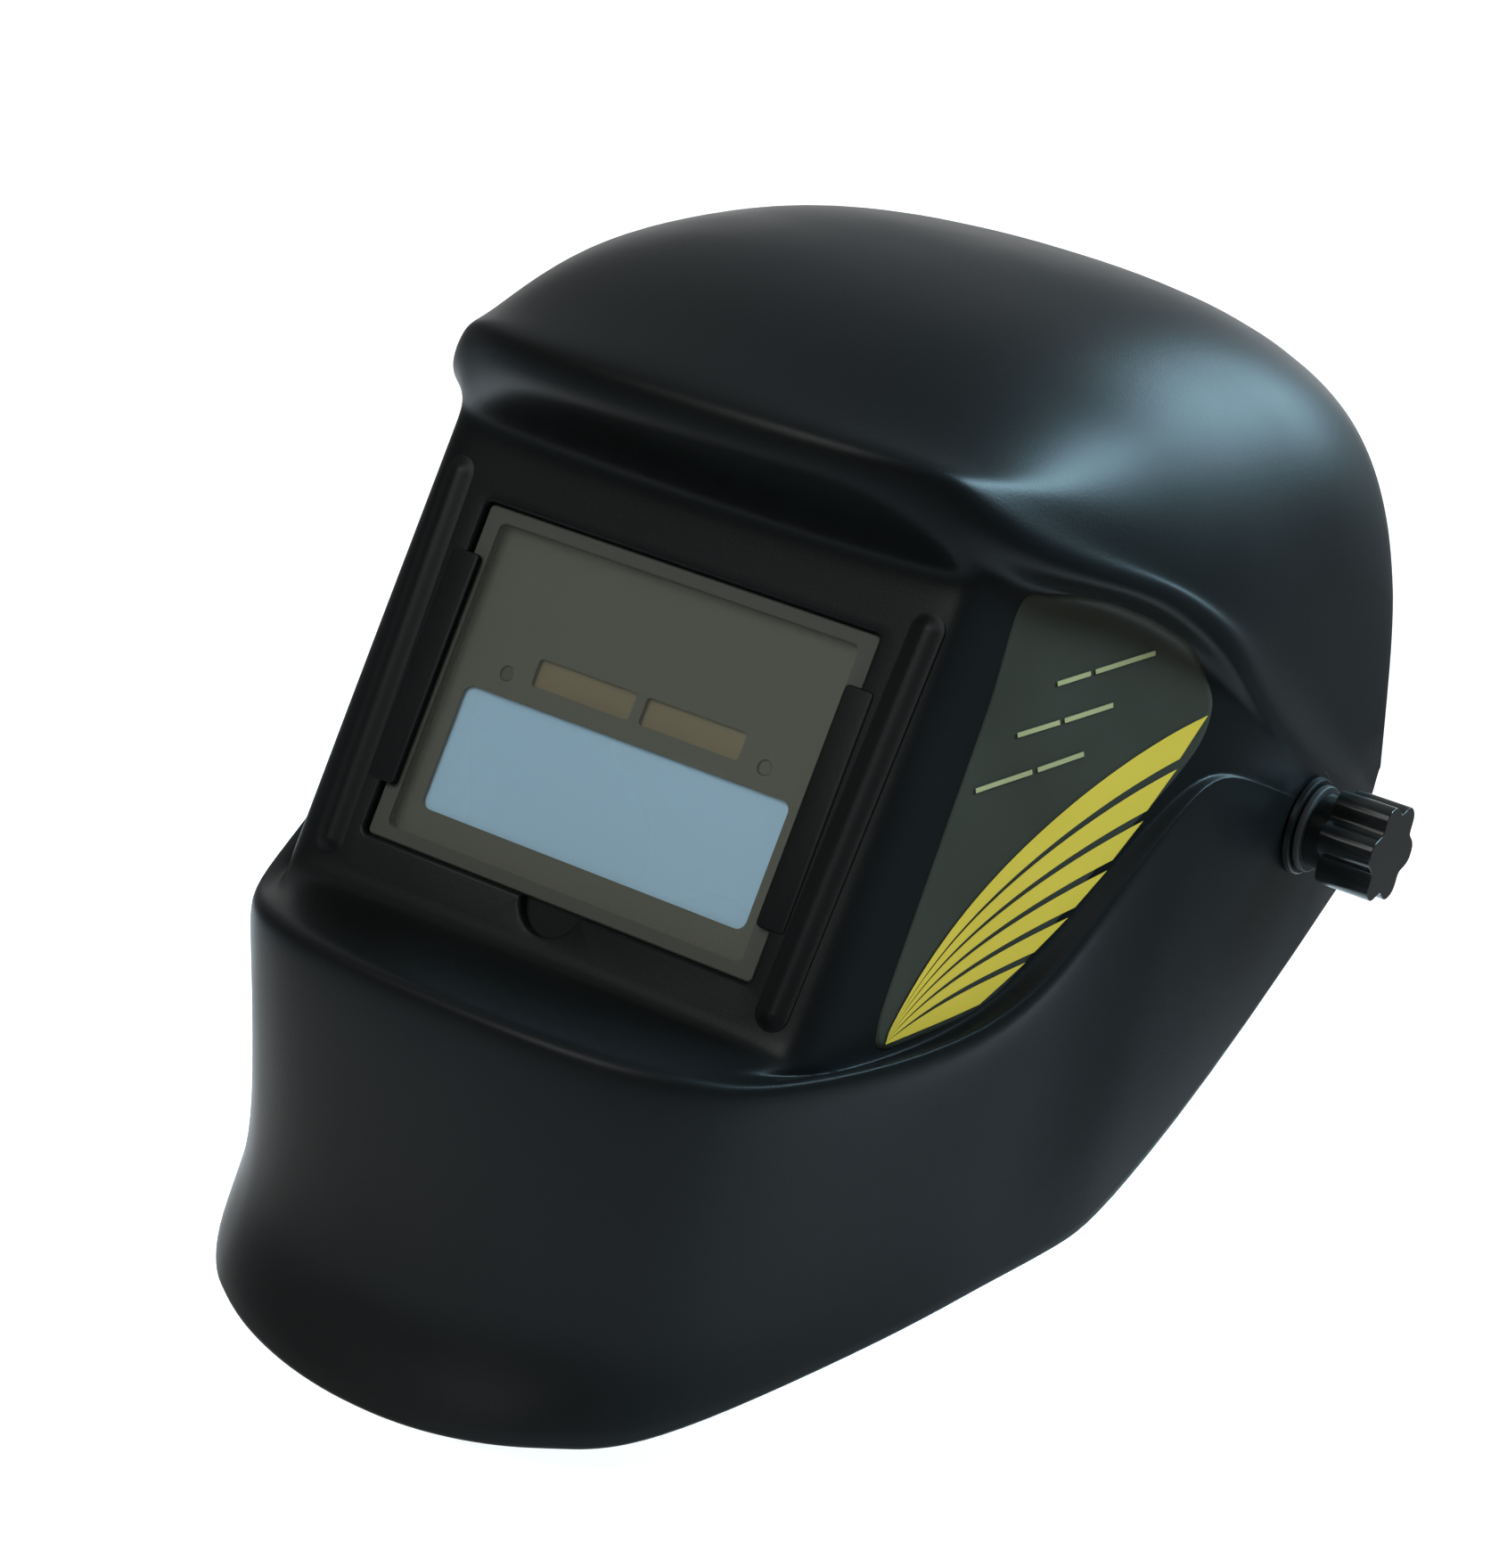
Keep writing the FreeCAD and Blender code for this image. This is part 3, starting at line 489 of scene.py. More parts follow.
def clear_plastic(name, tint, cover, rough):
    """Clear sheet: see-through but for its cover, which is the share of its own colour."""
    made = material(name, tint, rough, grain=60, bump=0.02, vary=0.02, spec=0.15, rough_vary=0.02)
    tree = made.node_tree
    shader = tree.nodes["Principled BSDF"]
    through = node(tree, "ShaderNodeBsdfTransparent")
    through.inputs["Color"].default_value = (0.93, 0.94, 0.90, 1.0)
    mix = node(tree, "ShaderNodeMixShader", Fac=cover)
    tree.links.new(through.outputs["BSDF"], mix.inputs[1])
    tree.links.new(shader.outputs["BSDF"], mix.inputs[2])
    tree.links.new(mix.outputs["Shader"], tree.nodes["Material Output"].inputs["Surface"])
    return made


def fabric(name, color):
    """Brushed cloth: a fine weave with fuzz."""
    made = material(name, color, 0.9, grain=700, bump=0.35, vary=0.2, spec=0.2, sheen=0.4,
                    rough_vary=0.04, broad=60)
    tree = made.node_tree
    place = next(n for n in tree.nodes if n.bl_idname == "ShaderNodeTexCoord")
    relief = next(n for n in tree.nodes if n.bl_idname == "ShaderNodeBump")
    fine = relief.inputs["Height"].links[0].from_node
    total = fine.outputs["Fac"]
    for axis in ("X", "Z"):
        thread = node(tree, "ShaderNodeTexWave", Scale=260.0, Distortion=1.5, bands_direction=axis)
        tree.links.new(place.outputs["Object"], thread.inputs["Vector"])
        total = math_node(tree, "ADD", total, thread.outputs["Fac"])
    tree.links.new(total, relief.inputs["Height"])
    return made


SHELL = material("shell_black", (0.0032, 0.0036, 0.0036), 0.36, grain=1500, bump=0.10, vary=0.10,
                 spec=0.07, rough_vary=0.04, broad=18)
INSIDE = material("holder_black", (0.010, 0.011, 0.011), 0.5, grain=1300, bump=0.14, spec=0.2)
HOUSING = material("cartridge_grey", (0.050, 0.051, 0.044), 0.5, grain=1100, bump=0.05, vary=0.04)
LENS = clear_plastic("clear_lens", (0.095, 0.098, 0.083), 0.16, 0.45)
MARGIN = clear_plastic("lens_margin", (0.036, 0.038, 0.031), 0.92, 0.5)
# painted light: the windows' opaque bright blue is their own blue tint together with the light that shines
# through them
WINDOW_TINT_AND_LIGHT = material("window_tint_and_painted_light", (0.43, 0.66, 1.0), 0.3, grain=200, bump=0.005, vary=0.02, broad=8)
CELL = material("cell_brown", (0.158, 0.120, 0.066), 0.4, grain=400, bump=0.02, vary=0.05)
SENSOR = material("sensor_dark", (0.040, 0.040, 0.035), 0.3, grain=400, bump=0.01)
BOARD = material("board_green", (0.02, 0.12, 0.05), 0.35, grain=500, bump=0.1)
STEEL = material("bright_steel", (0.55, 0.55, 0.56), 0.3, grain=700, bump=0.05, metal=1.0)
BRASS = material("brass", (0.62, 0.46, 0.20), 0.3, grain=700, bump=0.05, metal=1.0)
BOLT = material("bolt_black", (0.02, 0.02, 0.021), 0.45, grain=900, bump=0.1)
RUBBER = material("washer_rubber", (0.010, 0.010, 0.010), 0.6, grain=1200, bump=0.15, spec=0.2)
DISC = material("disc_black", (0.03, 0.03, 0.031), 0.45, grain=900, bump=0.1)
GLOSS = material("knob_gloss", (0.0025, 0.003, 0.003), 0.15, grain=300, bump=0.02, spec=0.25,
                 rough_vary=0.04, broad=80)
BAND = material("band_black", (0.014, 0.015, 0.016), 0.48, grain=1200, bump=0.12, spec=0.3)
CLOTH = fabric("pad_cloth", (0.045, 0.047, 0.052))
FILM = material("film_dark", (0.0235, 0.0228, 0.0170), 0.36, grain=900, bump=0.03, vary=0.08, spec=0.08)
YELLOW = material("print_yellow", (0.37, 0.250, 0.026), 0.42, grain=900, bump=0.02, vary=0.03, spec=0.2)
BARS = material("print_bars", (0.20, 0.185, 0.085), 0.45, grain=900, bump=0.03, vary=0.1, spec=0.3)


# ---- the shell ----
LENS_W, LENS_H, LENS_FRONT, LENS_BACK = 114.0, 86.0, 1.8, 3.3
LIP_R = 1.1
POCKET_W, POCKET_H, POCKET_DEPTH = 114.6, 86.6, 3.5
NOTCH_R, NOTCH_U = 8.8, -42.0
OPENING_W, OPENING_H = 106.0, 80.0
FRAME_W, FRAME_H, FRAME_FRONT, FRAME_BACK, FRAME_EDGE = 132.0, 104.0, 2.2, 5.5, 0.8
HOLE_X, HOLE_LOW, HOLE_HIGH, HOLE_DEPTH = 62.5, -53.0, 48.5, 2.0
RIM_STEPS = 6
TAB_W, TAB_H, TAB_X = 8.0, 60.0, 57.5
RIB_W, RIB_LENGTH, RIB_HEIGHT, RIB_X, RIB_TURN = 9.0, 104.0, 1.3, 67.0, math.radians(1.5)
BORE_R = 5.05
BOSS = ((BORE_R, 99), (13.2, 99), (14.0, 99.8), (14.0, 113.6), (14.6, 114.2))
COLLAR = ((13.0, 115.0), (12.8, 116.2), (12.4, 116.5), (BORE_R, 116.5), (BORE_R, 99))
STOP_PIN = ((0.1, 92.9), (1.6, 92.9), (2.0, 93.3), (2.0, 100.0))
STOP_PIN_REACH, STOP_PIN_ANGLE = 11.0, math.radians(150)


def pocket_outline():
    """Lens pocket with the finger notch in its lower edge, anticlockwise from the right."""
    steps = 5
    outline = rounded_rect(POCKET_W, POCKET_H, 1.6, steps=steps)
    low = -POCKET_H / 2
    reach = math.sqrt(NOTCH_R ** 2 - (low - NOTCH_U) ** 2)
    start = math.atan2(low - NOTCH_U, -reach)
    end = math.atan2(low - NOTCH_U, reach)
    arc = [(NOTCH_R * math.cos(a), NOTCH_U + NOTCH_R * math.sin(a))
           for a in np.linspace(start % (2 * math.pi), end % (2 * math.pi), 25)]
    bottom_left = 3 * (steps + 1)
    return np.array(list(outline[:bottom_left]) + arc + list(outline[bottom_left:]))


def in_opening(points):
    """Marks the grid points that lie in the lens opening of the panel."""
    rel = points - PANEL
    c, s = math.cos(LEAN), math.sin(LEAN)
    up = rel[..., 1] * s + rel[..., 2] * c
    depth = rel[..., 1] * c - rel[..., 2] * s
    return ((abs(rel[..., 0]) < HOLE_X) & (up > HOLE_LOW) & (up < HOLE_HIGH)
            & (abs(depth) < HOLE_DEPTH))


def add_walls(build, outer, inner, points):
    """Outer and inner faces, left open where the lens goes."""
    inside = in_opening(points)
    whole = inside[:-1, :-1] & inside[1:, :-1] & inside[1:, 1:] & inside[:-1, 1:]
    for grid in (outer, inner):
        for i, j in np.argwhere(~whole):
            build.faces.append((grid[i, j], grid[i, j + 1], grid[i + 1, j + 1], grid[i + 1, j]))


def rim_places(rows, columns):
    """Grid places all the way round the shell's edge."""
    return ([(0, j) for j in range(columns)] + [(i, columns - 1) for i in range(1, rows)]
            + [(rows - 1, j) for j in range(columns - 2, -1, -1)]
            + [(i, 0) for i in range(rows - 2, 0, -1)])


def add_rim(build, outer, inner, points, normals):
    """Half-round edge from the outer face to the inner one."""
    edge = rim_places(*outer.shape)
    slopes = [np.gradient(points, axis=axis) for axis in (0, 1)]
    outward = []
    for place in edge:
        way = np.zeros(3)
        for axis in (0, 1):
            slope = slopes[axis][place]
            if place[axis] == 0:
                way -= slope / np.linalg.norm(slope)
            if place[axis] == outer.shape[axis] - 1:
                way += slope / np.linalg.norm(slope)
        way -= normals[place] * np.dot(way, normals[place])
        outward.append(way / np.linalg.norm(way))
    half = WALL / 2
    rim = [[outer[place] for place in edge]]
    for step in range(1, RIM_STEPS):
        a = math.pi * step / RIM_STEPS
        rim.append(build.add([points[k] - half * normals[k] + half * (
            normals[k] * math.cos(a) + way * math.sin(a)) for k, way in zip(edge, outward)]))
    rim.append([inner[place] for place in edge])
    for a, b in zip(rim, rim[1:]):
        build.bridge(a, b)


def add_pocket(build):
    """Lens pocket with a rounded lip, the opening behind it and the frame round the opening."""
    outline = pocket_outline()
    loops = []
    for a in np.radians((0, 22.5, 45, 67.5, 90)):
        lip_edge = grown(outline, LIP_R * (1 - math.sin(a)))
        loops.append(at_depth(lip_edge, LIP_R * (1 - math.cos(a))))
    lip = build.loft(loops + [at_depth(outline, POCKET_DEPTH)])
    opening = rounded_rect(OPENING_W, OPENING_H, 3.0)
    seat = build.loft([at_depth(opening, POCKET_DEPTH), at_depth(opening, FRAME_BACK)])
    back = rounded_rect(FRAME_W, FRAME_H, 6.0)
    back_edge = [at_depth(grown(back, -FRAME_EDGE), FRAME_BACK), at_depth(back, FRAME_BACK - FRAME_EDGE)]
    frame_back = build.loft(back_edge + [at_depth(back, FRAME_FRONT)])
    return lip, seat, frame_back


def close_gaps(mesh, outer_count, lip, seat, frame_back):
    """Fills the flat gaps between the outer face, the pocket, the opening and the frame."""
    bm = bmesh.new()
    bm.from_mesh(mesh)
    bm.verts.ensure_lookup_table()

    def loop_edges(ids):
        made = []
        for a, b in zip(ids, ids[1:] + ids[:1]):
            pair = (bm.verts[a], bm.verts[b])
            made.append(bm.edges.get(pair) or bm.edges.new(pair))
        return made

    hole = [e for e in bm.edges
            if len(e.link_faces) == 1 and all(v.index < outer_count for v in e.verts)]
    for edges in (hole + loop_edges(lip[0]), loop_edges(lip[-1]) + loop_edges(seat[0]),
                  loop_edges(seat[-1]) + loop_edges(frame_back[0])):
        bmesh.ops.triangle_fill(bm, edges=edges, use_beauty=True)
    bmesh.ops.delete(bm, geom=[v for v in bm.verts if not v.link_faces], context="VERTS")
    bmesh.ops.recalc_face_normals(bm, faces=bm.faces)
    bm.to_mesh(mesh)
    bm.free()


def make_shell():
    """The moulding's mesh, and the points of its outer face for laying the prints on."""
    points, normals = outer_grid()
    build = Build()
    outer = np.array(build.add(points.reshape(-1, 3))).reshape(points.shape[:2])
    inner = np.array(build.add((points - WALL * normals).reshape(-1, 3))).reshape(points.shape[:2])
    add_walls(build, outer, inner, points)
    add_rim(build, outer, inner, points, normals)
    lip, seat, frame_back = add_pocket(build)
    mesh = mesh_of("shell_moulding", build.verts, build.faces)
    close_gaps(mesh, outer.size, lip, seat, frame_back)
    return mesh, points


def add_rib(build, side):
    """Low rib beside the lens, with a bell-shaped section."""
    loops = []
    turn = -side * RIB_TURN
    for k in range(9):
        spread = 1.0 - k / 8.5
        height = RIB_HEIGHT * math.cos(math.pi / 2 * spread) ** 1.6 - 0.03
        rib = rounded_rect(RIB_W * spread, RIB_LENGTH - RIB_W * (1 - spread), 4.49 * spread, steps=8)
        rib = np.stack([rib[:, 0] * math.cos(turn) - rib[:, 1] * math.sin(turn) + side * RIB_X,
                        rib[:, 0] * math.sin(turn) + rib[:, 1] * math.cos(turn)], axis=1)
        loops.append(at_depth(rib, -height))
    build.loft(loops, False, True)


def add_turned(build, side, profile, count=48, y=0.0, z=0.0):
    """(radius, x) stations turned round an axis along X."""
    angles = np.linspace(0, 2 * math.pi, count, endpoint=False)
    build.loft([[(side * x, y + radius * math.cos(a), z + radius * math.sin(a)) for a in angles]
                for radius, x in profile])


def add_details(mesh):
    """Lens tabs, ribs beside the lens and the pivot bosses, joined into the shell's mesh."""
    build = Build()
    for side in (-1, 1):
        slab(build, rounded_rect(TAB_W, TAB_H, 1.2, x=side * TAB_X), -0.35, 1.6, 0.5)
        add_rib(build, side)
        add_turned(build, side, BOSS)
        add_turned(build, side, COLLAR)
        add_turned(build, side, STOP_PIN, 20, STOP_PIN_REACH * math.cos(STOP_PIN_ANGLE),
                   STOP_PIN_REACH * math.sin(STOP_PIN_ANGLE))
    extra = build.mesh("shell_details")
    bm = bmesh.new()
    bm.from_mesh(mesh)
    bm.from_mesh(extra)
    bm.to_mesh(mesh)
    bm.free()
    return mesh


shell_mesh, shell_points = make_shell()
shell = link("shell_moulding", add_details(shell_mesh), SHELL, "shell", sharp=35)
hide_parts("shell")


# ---- printed films in the side recesses ----
SLANT = math.radians(25.0)      # the prints are laid on along this slant, square to the recess floor
OUTSIDE = 160.0                 # rays start this far out
FILM_LIFT, PRINT_LIFT, FILM_ROOT = 0.12, 0.5, -0.2


def surface_tree():
    """The wearer's left half of the shell's outer face, for casting rays on."""
    rows, columns = shell_points.shape[:2]
    faces = []
    for i in range(rows - 1):
        for j in range(columns // 2, columns - 1):
            k = i * columns + j
            faces.append((k, k + 1, k + columns + 1, k + columns))
    return BVHTree.FromPolygons([tuple(p) for p in shell_points.reshape(-1, 3)], faces)


TREE = surface_tree()


def cast(start, way):
    """Point hit on the shell, and the normal there that faces the start."""
    hit, normal, _, _ = TREE.ray_cast(Vector(start), Vector(way))
    return hit, normal if normal.dot(Vector(way)) < 0 else -normal


def to_print(points):
    """(depth, height) points on the side wall, turned into the prints' own plane."""
    turned = []
    for y, z in points:
        hit, _ = cast((OUTSIDE, y, z), (-1, 0, 0))
        turned.append((hit.x * math.sin(SLANT) + hit.y * math.cos(SLANT), z))
    return np.array(turned)


def on_wall(points, lift):
    """Points of the prints' plane laid on the wearer's left side, lifted off along the normal."""
    s, c = math.sin(SLANT), math.cos(SLANT)
    placed = []
    for a, z in points:
        start = (OUTSIDE * c + a * s, -OUTSIDE * s + a * c, z)
        hit, normal = cast(start, (-c, s, 0))
        placed.append(tuple(hit + normal * lift))
    return placed


def smooth_loop(points, steps=8):
    """Closed Catmull-Rom curve through points."""
    p = np.array(points, float)
    count = len(p)
    out = []
    for i in range(count):
        a, b, c, d = p[i - 1], p[i], p[(i + 1) % count], p[(i + 2) % count]
        for t in np.arange(steps) / steps:
            out.append(0.5 * (2 * b + (c - a) * t + (2 * a - 5 * b + 4 * c - d) * t * t
                              + (3 * b - a - 3 * c + d) * t ** 3))
    return np.array(out)


FILM_EDGE = to_print([(-123.5, 46), (-115, 49.3), (-104, 50.3), (-92, 49), (-82, 46.5), (-72, 42.5),
                      (-64.5, 35.5), (-61, 29), (-62.5, 20), (-69, 9.5), (-79, -2.5), (-90.5, -17.5),
                      (-100.5, -33), (-109, -44.5), (-118, -52), (-129, -57.8), (-139, -61.6),
                      (-141, -55.5), (-138.5, -38.5), (-133, -8.5), (-127, 22)])
FAN_ROOT, FAN_TOP, FAN_TOP_PULL, FAN_LOW, FAN_LOW_PULL, FAN_END_PULL = to_print(
    [(-138.9, -60.6), (-62.0, 27.0), (-122.0, -6.0), (-114.5, -48.6), (-127, -55.4), (-82, -16)])
FILM_CENTRE = to_print([(-106.0, 2.0)])[0]
BAND_COUNT = 6
BAND_GAP = 4.0
BAND_SHORTER = 0.985            # the low corner of a stripe stops short of the next stripe's end
# plain bars, each in two lengths: first end, second end, and the share where it is split
BAR_LINES = (((-108.6, 28.9), (-81.4, 39.8), 0.36), ((-117.6, 15.6), (-91.5, 26.0), 0.46),
             ((-126.6, 1.4), (-98, 13.6), 0.54))
BAR_HALF, BAR_SPLIT = 0.6, 0.025


def bend(a, b, c, t):
    """Points of a curve from a to c that is pulled towards b."""
    t = np.asarray(t)[..., None]
    return (1 - t) ** 2 * a + 2 * t * (1 - t) * b + t * t * c


def fan_line(share, t):
    """Line number share (0 top, 1 low) of the fan, from its root to its end."""
    end = bend(FAN_TOP, FAN_END_PULL, FAN_LOW, share)
    pull = FAN_TOP_PULL + (FAN_LOW_PULL - FAN_TOP_PULL) * share ** 0.8
    return bend(FAN_ROOT, pull, end, t)


def patch(build, rows, lift):
    """Grid of (y, z) rows laid on the wall."""
    ids = [build.add(on_wall(row, lift)) for row in rows]
    for a, b in zip(ids, ids[1:]):
        build.bridge(a, b, closed=False)


def film_sheet():
    """The dark film, its edge turned down onto the shell."""
    film = Build()
    outline = smooth_loop(FILM_EDGE) - FILM_CENTRE
    ids = [film.add(on_wall(FILM_CENTRE + outline * s, FILM_LIFT)) for s in np.linspace(0.003, 1, 36)]
    for a, b in zip(ids, ids[1:]):
        film.bridge(a, b)
    film.bridge(ids[-1], film.add(on_wall(FILM_CENTRE + outline * 1.001, FILM_ROOT)))
    return film


def stripes():
    """Fan of stripes that narrow towards one root."""
    bands = Build()
    for k in range(BAND_COUNT):
        last = k == BAND_COUNT - 1
        low, high = k / BAND_COUNT, (k + 1) / BAND_COUNT
        rows = []
        for t in np.linspace(0.03, 1, 40):
            top, bottom = fan_line(low, t), fan_line(high, t * (1.0 if last else BAND_SHORTER))
            across = bottom - top
            width = np.linalg.norm(across)
            gap = 0.0 if last else min(BAND_GAP * t ** 1.2, width * 0.35)
            across *= 1 - gap / max(width, 1e-6)
            rows.append([top + across * s for s in np.linspace(0, 1, 13)])
        patch(bands, rows, PRINT_LIFT)
    return bands


def bars():
    made = Build()
    for first, second, split in BAR_LINES:
        a, b = to_print([first, second])
        side = np.array((-(b - a)[1], (b - a)[0])) / np.linalg.norm(b - a) * BAR_HALF
        for start, end in ((0.0, split - BAR_SPLIT), (split + BAR_SPLIT, 1.0)):
            rows = [[a + (b - a) * t + side * s for s in (-1, 0, 1)]
                    for t in np.linspace(start, end, 14)]
            patch(made, rows, PRINT_LIFT)
    return made


def add_print(build, name, side, paint):
    """Film or print on one side of the shell; the wearer's right is the left mirrored."""
    mesh = mesh_of(name + side, build.verts, build.faces)
    if side == "right":
        mesh.transform(Matrix.Scale(-1, 4, (1, 0, 0)))
        mesh.flip_normals()
    return link(name + side, mesh, paint, "shell", sharp=None)


for side in ("left", "right"):
    film = add_print(film_sheet(), "side_film_", side, FILM)
    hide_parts("side_decal_" + side)
    add_print(stripes(), "side_stripes_", side, YELLOW)
    add_print(bars(), "side_bars_", side, BARS)


# ---- the other moulded and turned pieces: the design's shapes with softened edges ----
def softened(name, width, paint, ride=True):
    """Piece with a CAD node's shape and its edges rounded by width (mm)."""
    bm = bmesh.new()
    bm.from_mesh(frame["nodes"][name].data)
    bmesh.ops.remove_doubles(bm, verts=bm.verts, dist=1e-6)
    bmesh.ops.dissolve_limit(bm, angle_limit=math.radians(0.3), verts=bm.verts, edges=bm.edges)
    mesh = bpy.data.meshes.new(name + "_look")
    bm.to_mesh(mesh)
    bm.free()
    for extra in [a.name for a in mesh.attributes if a.name == "custom_normal"]:
        mesh.attributes.remove(mesh.attributes[extra])
    obj = link(name + "_look", mesh, paint, None, sharp=None)
    bevel = obj.modifiers.new("edges", "BEVEL")
    bevel.width = width * MM
    bevel.segments = 2
    bevel.limit_method = "ANGLE"
    bevel.angle_limit = math.radians(35)
    bevel.use_clamp_overlap = True
    even = obj.modifiers.new("even", "WEIGHTED_NORMAL")
    even.keep_sharp = True
    baked(obj)
    obj.data.shade_smooth()
    if ride:
        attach(obj, frame["nodes"][name]["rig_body"])
    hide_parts(name)
    return obj


for names, width, paint, slot in (
        (("adf_front_housing", "adf_rear_housing"), 0.3, HOUSING, "housing_plastic"),
        (("cartridge_holder", "retainer_frame"), 0.5, INSIDE, "housing_plastic"),
        (("uv_ir_filter_glass",), 0.2, WINDOW_TINT_AND_LIGHT, "filter_glass"),
        (("lcd_shutter",), 0.2, WINDOW_TINT_AND_LIGHT, "lcd_glass"),
        (("solar_cells",), 0.15, CELL, "solar_cell"),
        (("arc_sensors",), 0.2, SENSOR, "sensor_dark"),
        (("circuit_board",), 0.15, BOARD, "circuit_green"),
        (("lithium_cells",), 0.3, STEEL, "cell_steel"),
        (("holder_screws", "ratchet_screws", "ratchet_knob_screw"), 0.35, STEEL, "screw_steel"),
        (("spring_clip_left", "spring_clip_right", "ratchet_spring"), 0.1, STEEL, "spring_steel"),
        (("pivot_bolt_left", "pivot_bolt_right", "crown_rivets", "side_strap_rivets"), 0.4, BOLT,
         "bolt_plastic"),
        (("stop_disc_left", "stop_disc_right"), 0.4, DISC, "disc_plastic"),
        (("inner_washer_left", "inner_washer_right", "outer_washer_left", "outer_washer_right"), 0.5,
         RUBBER, "washer_rubber"),
        (("knob_insert_left", "knob_insert_right"), 0.3, BRASS, "insert_brass"),
        (("tension_knob_left", "tension_knob_right", "ratchet_knob"), 1.0, GLOSS, "knob_gloss"),
        (("headband", "crown_strap_left", "crown_strap_right", "ratchet_pinion", "rack_left",
          "rack_right", "crown_peg"), 0.5, BAND, "band_plastic"),
        (("ratchet_base", "ratchet_cover"), 1.0, BAND, "band_plastic"),
        (("inner_cover_lens",), 0.3, LENS, "lens_clear")):
    for name in names:
        softened(name, width, paint)

for side in ("left", "right"):
    strap = softened("side_strap_" + side, 0.5, BAND, ride=False)
    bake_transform(strap, "headband", "rack_" + side, start=(0, 0.046, -0.02), end=(0, 0.104, -0.04))


def make_cover_lens():
    """Front cover lens: clear over the opening, milky where its margin rests on the pocket."""
    outline = rounded_rect(LENS_W, LENS_H, 1.4)
    window = rounded_rect(OPENING_W - 1.0, OPENING_H - 1.0, 2.0)
    edge = 0.35
    loops = [at_depth(window, LENS_FRONT)]
    loops += [at_depth(grown(outline, -edge), LENS_FRONT), at_depth(outline, LENS_FRONT + edge)]
    loops += [at_depth(outline, LENS_BACK - edge), at_depth(grown(outline, -edge), LENS_BACK)]
    loops.append(at_depth(window, LENS_BACK))
    build = Build()
    build.loft(loops, True, True)
    lens = link("front_cover_lens_look", build.mesh("front_cover_lens_look"), LENS, "shell")
    lens.data.materials.append(MARGIN)
    for face in lens.data.polygons:
        face.material_index = 1 if len(face.vertices) == 4 else 0
    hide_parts("front_cover_lens")


make_cover_lens()


# ---- padded pieces of the headgear ----
PAD_OUT, PAD_T, PAD_POWER = 89.3, 6.4, 2.4
PAD_END_Y = -42.3
PAD_TOP = [(-98, 43), (-80, 42), (-52, 33), (-42, 26)]
PAD_LOW = [(-98, 17), (-80, 16), (-52, 5), (-42, 8)]


def padded_piece(name, build):
    """Cloth piece with foam inside that stands for a plain solid of the design."""
    piece = link(name + "_look", build.mesh(name + "_look"), CLOTH, None, sharp=None)
    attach(piece, frame["nodes"][name]["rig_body"])
    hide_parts(name)


def seam(distance, depth=0.9, width=0.9):
    """Dent of a stitched line at a distance from it."""
    return depth * math.exp(-(distance / width) ** 2)


def make_sweatband():
    """Foam brow pad curving round the inside of the headband, stitched along both edges."""
    t = np.radians(np.linspace(180, 360, 401))
    plan = np.stack([np.cos(t), np.sin(t)], axis=1)
    plan = np.sign(plan) * abs(plan) ** (2 / PAD_POWER) * PAD_OUT
    plan = plan[plan[:, 1] < PAD_END_Y]
    steps = np.linalg.norm(np.diff(plan, axis=0), axis=1)
    travel = np.concatenate([[0], np.cumsum(steps)])
    total = travel[-1]
    loops = []
    for along in np.linspace(0, total, 181):
        x, y = (np.interp(along, travel, plan[:, k]) for k in (0, 1))
        ahead = [np.interp(min(total, along + 1), travel, plan[:, k])
                 - np.interp(max(0, along - 1), travel, plan[:, k]) for k in (0, 1)]
        length = math.hypot(*ahead)
        inward = (-ahead[1] / length, ahead[0] / length)
        end = min(along, total - along)
        swell = math.sqrt(1 - (1 - min(1.0, end / 7)) ** 2)
        top, low = curve(PAD_TOP, y), curve(PAD_LOW, y)
        middle, half = (top + low) / 2, (top - low) / 2 * (0.35 + 0.65 * swell)
        loop = []
        for k in range(44):
            a = 2 * math.pi * k / 44
            c, s = math.cos(a), math.sin(a)
            rise = math.copysign(abs(s) ** 0.6, s)
            depth = 0.5 + 0.5 * math.copysign(abs(c) ** 0.7, c)
            depth *= PAD_T * (0.25 + 0.75 * swell)
            if c > 0:
                pucker = 1 + 0.35 * math.sin(along * 1.3) * math.sin(along * 0.37 + 1)
                depth -= seam((1 - abs(rise)) * half - 2.8) * pucker * swell
                depth -= 0.25 * (1 + math.sin(along * 0.21)) * (1 - abs(rise))
            loop.append((x + inward[0] * depth, y + inward[1] * depth, middle + half * rise))
        loops.append(loop)
    build = Build()
    build.loft(loops, True, True)
    padded_piece("sweatband", build)


def make_nape_pad():
    """Pillow behind the neck: flat on the ratchet base, crowned towards the head."""
    low, high = (np.array(c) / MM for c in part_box("nape_pad"))
    middle, size = (low + high) / 2, high - low
    outline = rounded_rect(size[0] - 1.0, size[2] - 1.0, 10.0, steps=8)
    thickness = size[1] - 0.3
    loops = []
    for share in (0.0, 0.3, 0.6, 0.85, 0.97):
        loops.append([(middle[0] + x * share, high[1], middle[2] + u * share) for x, u in outline])
    for k in range(26):
        a = math.radians(90 * k / 25)
        share = math.cos(a) ** 0.75 if k < 25 else 0.0
        bulge = math.sin(a) ** 0.8
        loop = []
        for x, u in outline:
            edge = (1 - share) * min(size[0], size[2]) / 2
            depth = 1.0 + (thickness - 1.0) * bulge
            depth -= seam(edge - 4.0, 1.1, 0.9) * (1 + 0.3 * math.sin(x * 0.9 + u * 0.7))
            depth -= seam(x * share, 1.6, 2.0) * bulge
            loop.append((middle[0] + x * share, high[1] - depth, middle[2] + u * share))
        loops.append(loop)
    build = Build()
    build.loft(loops)
    padded_piece("nape_pad", build)


make_sweatband()
make_nape_pad()

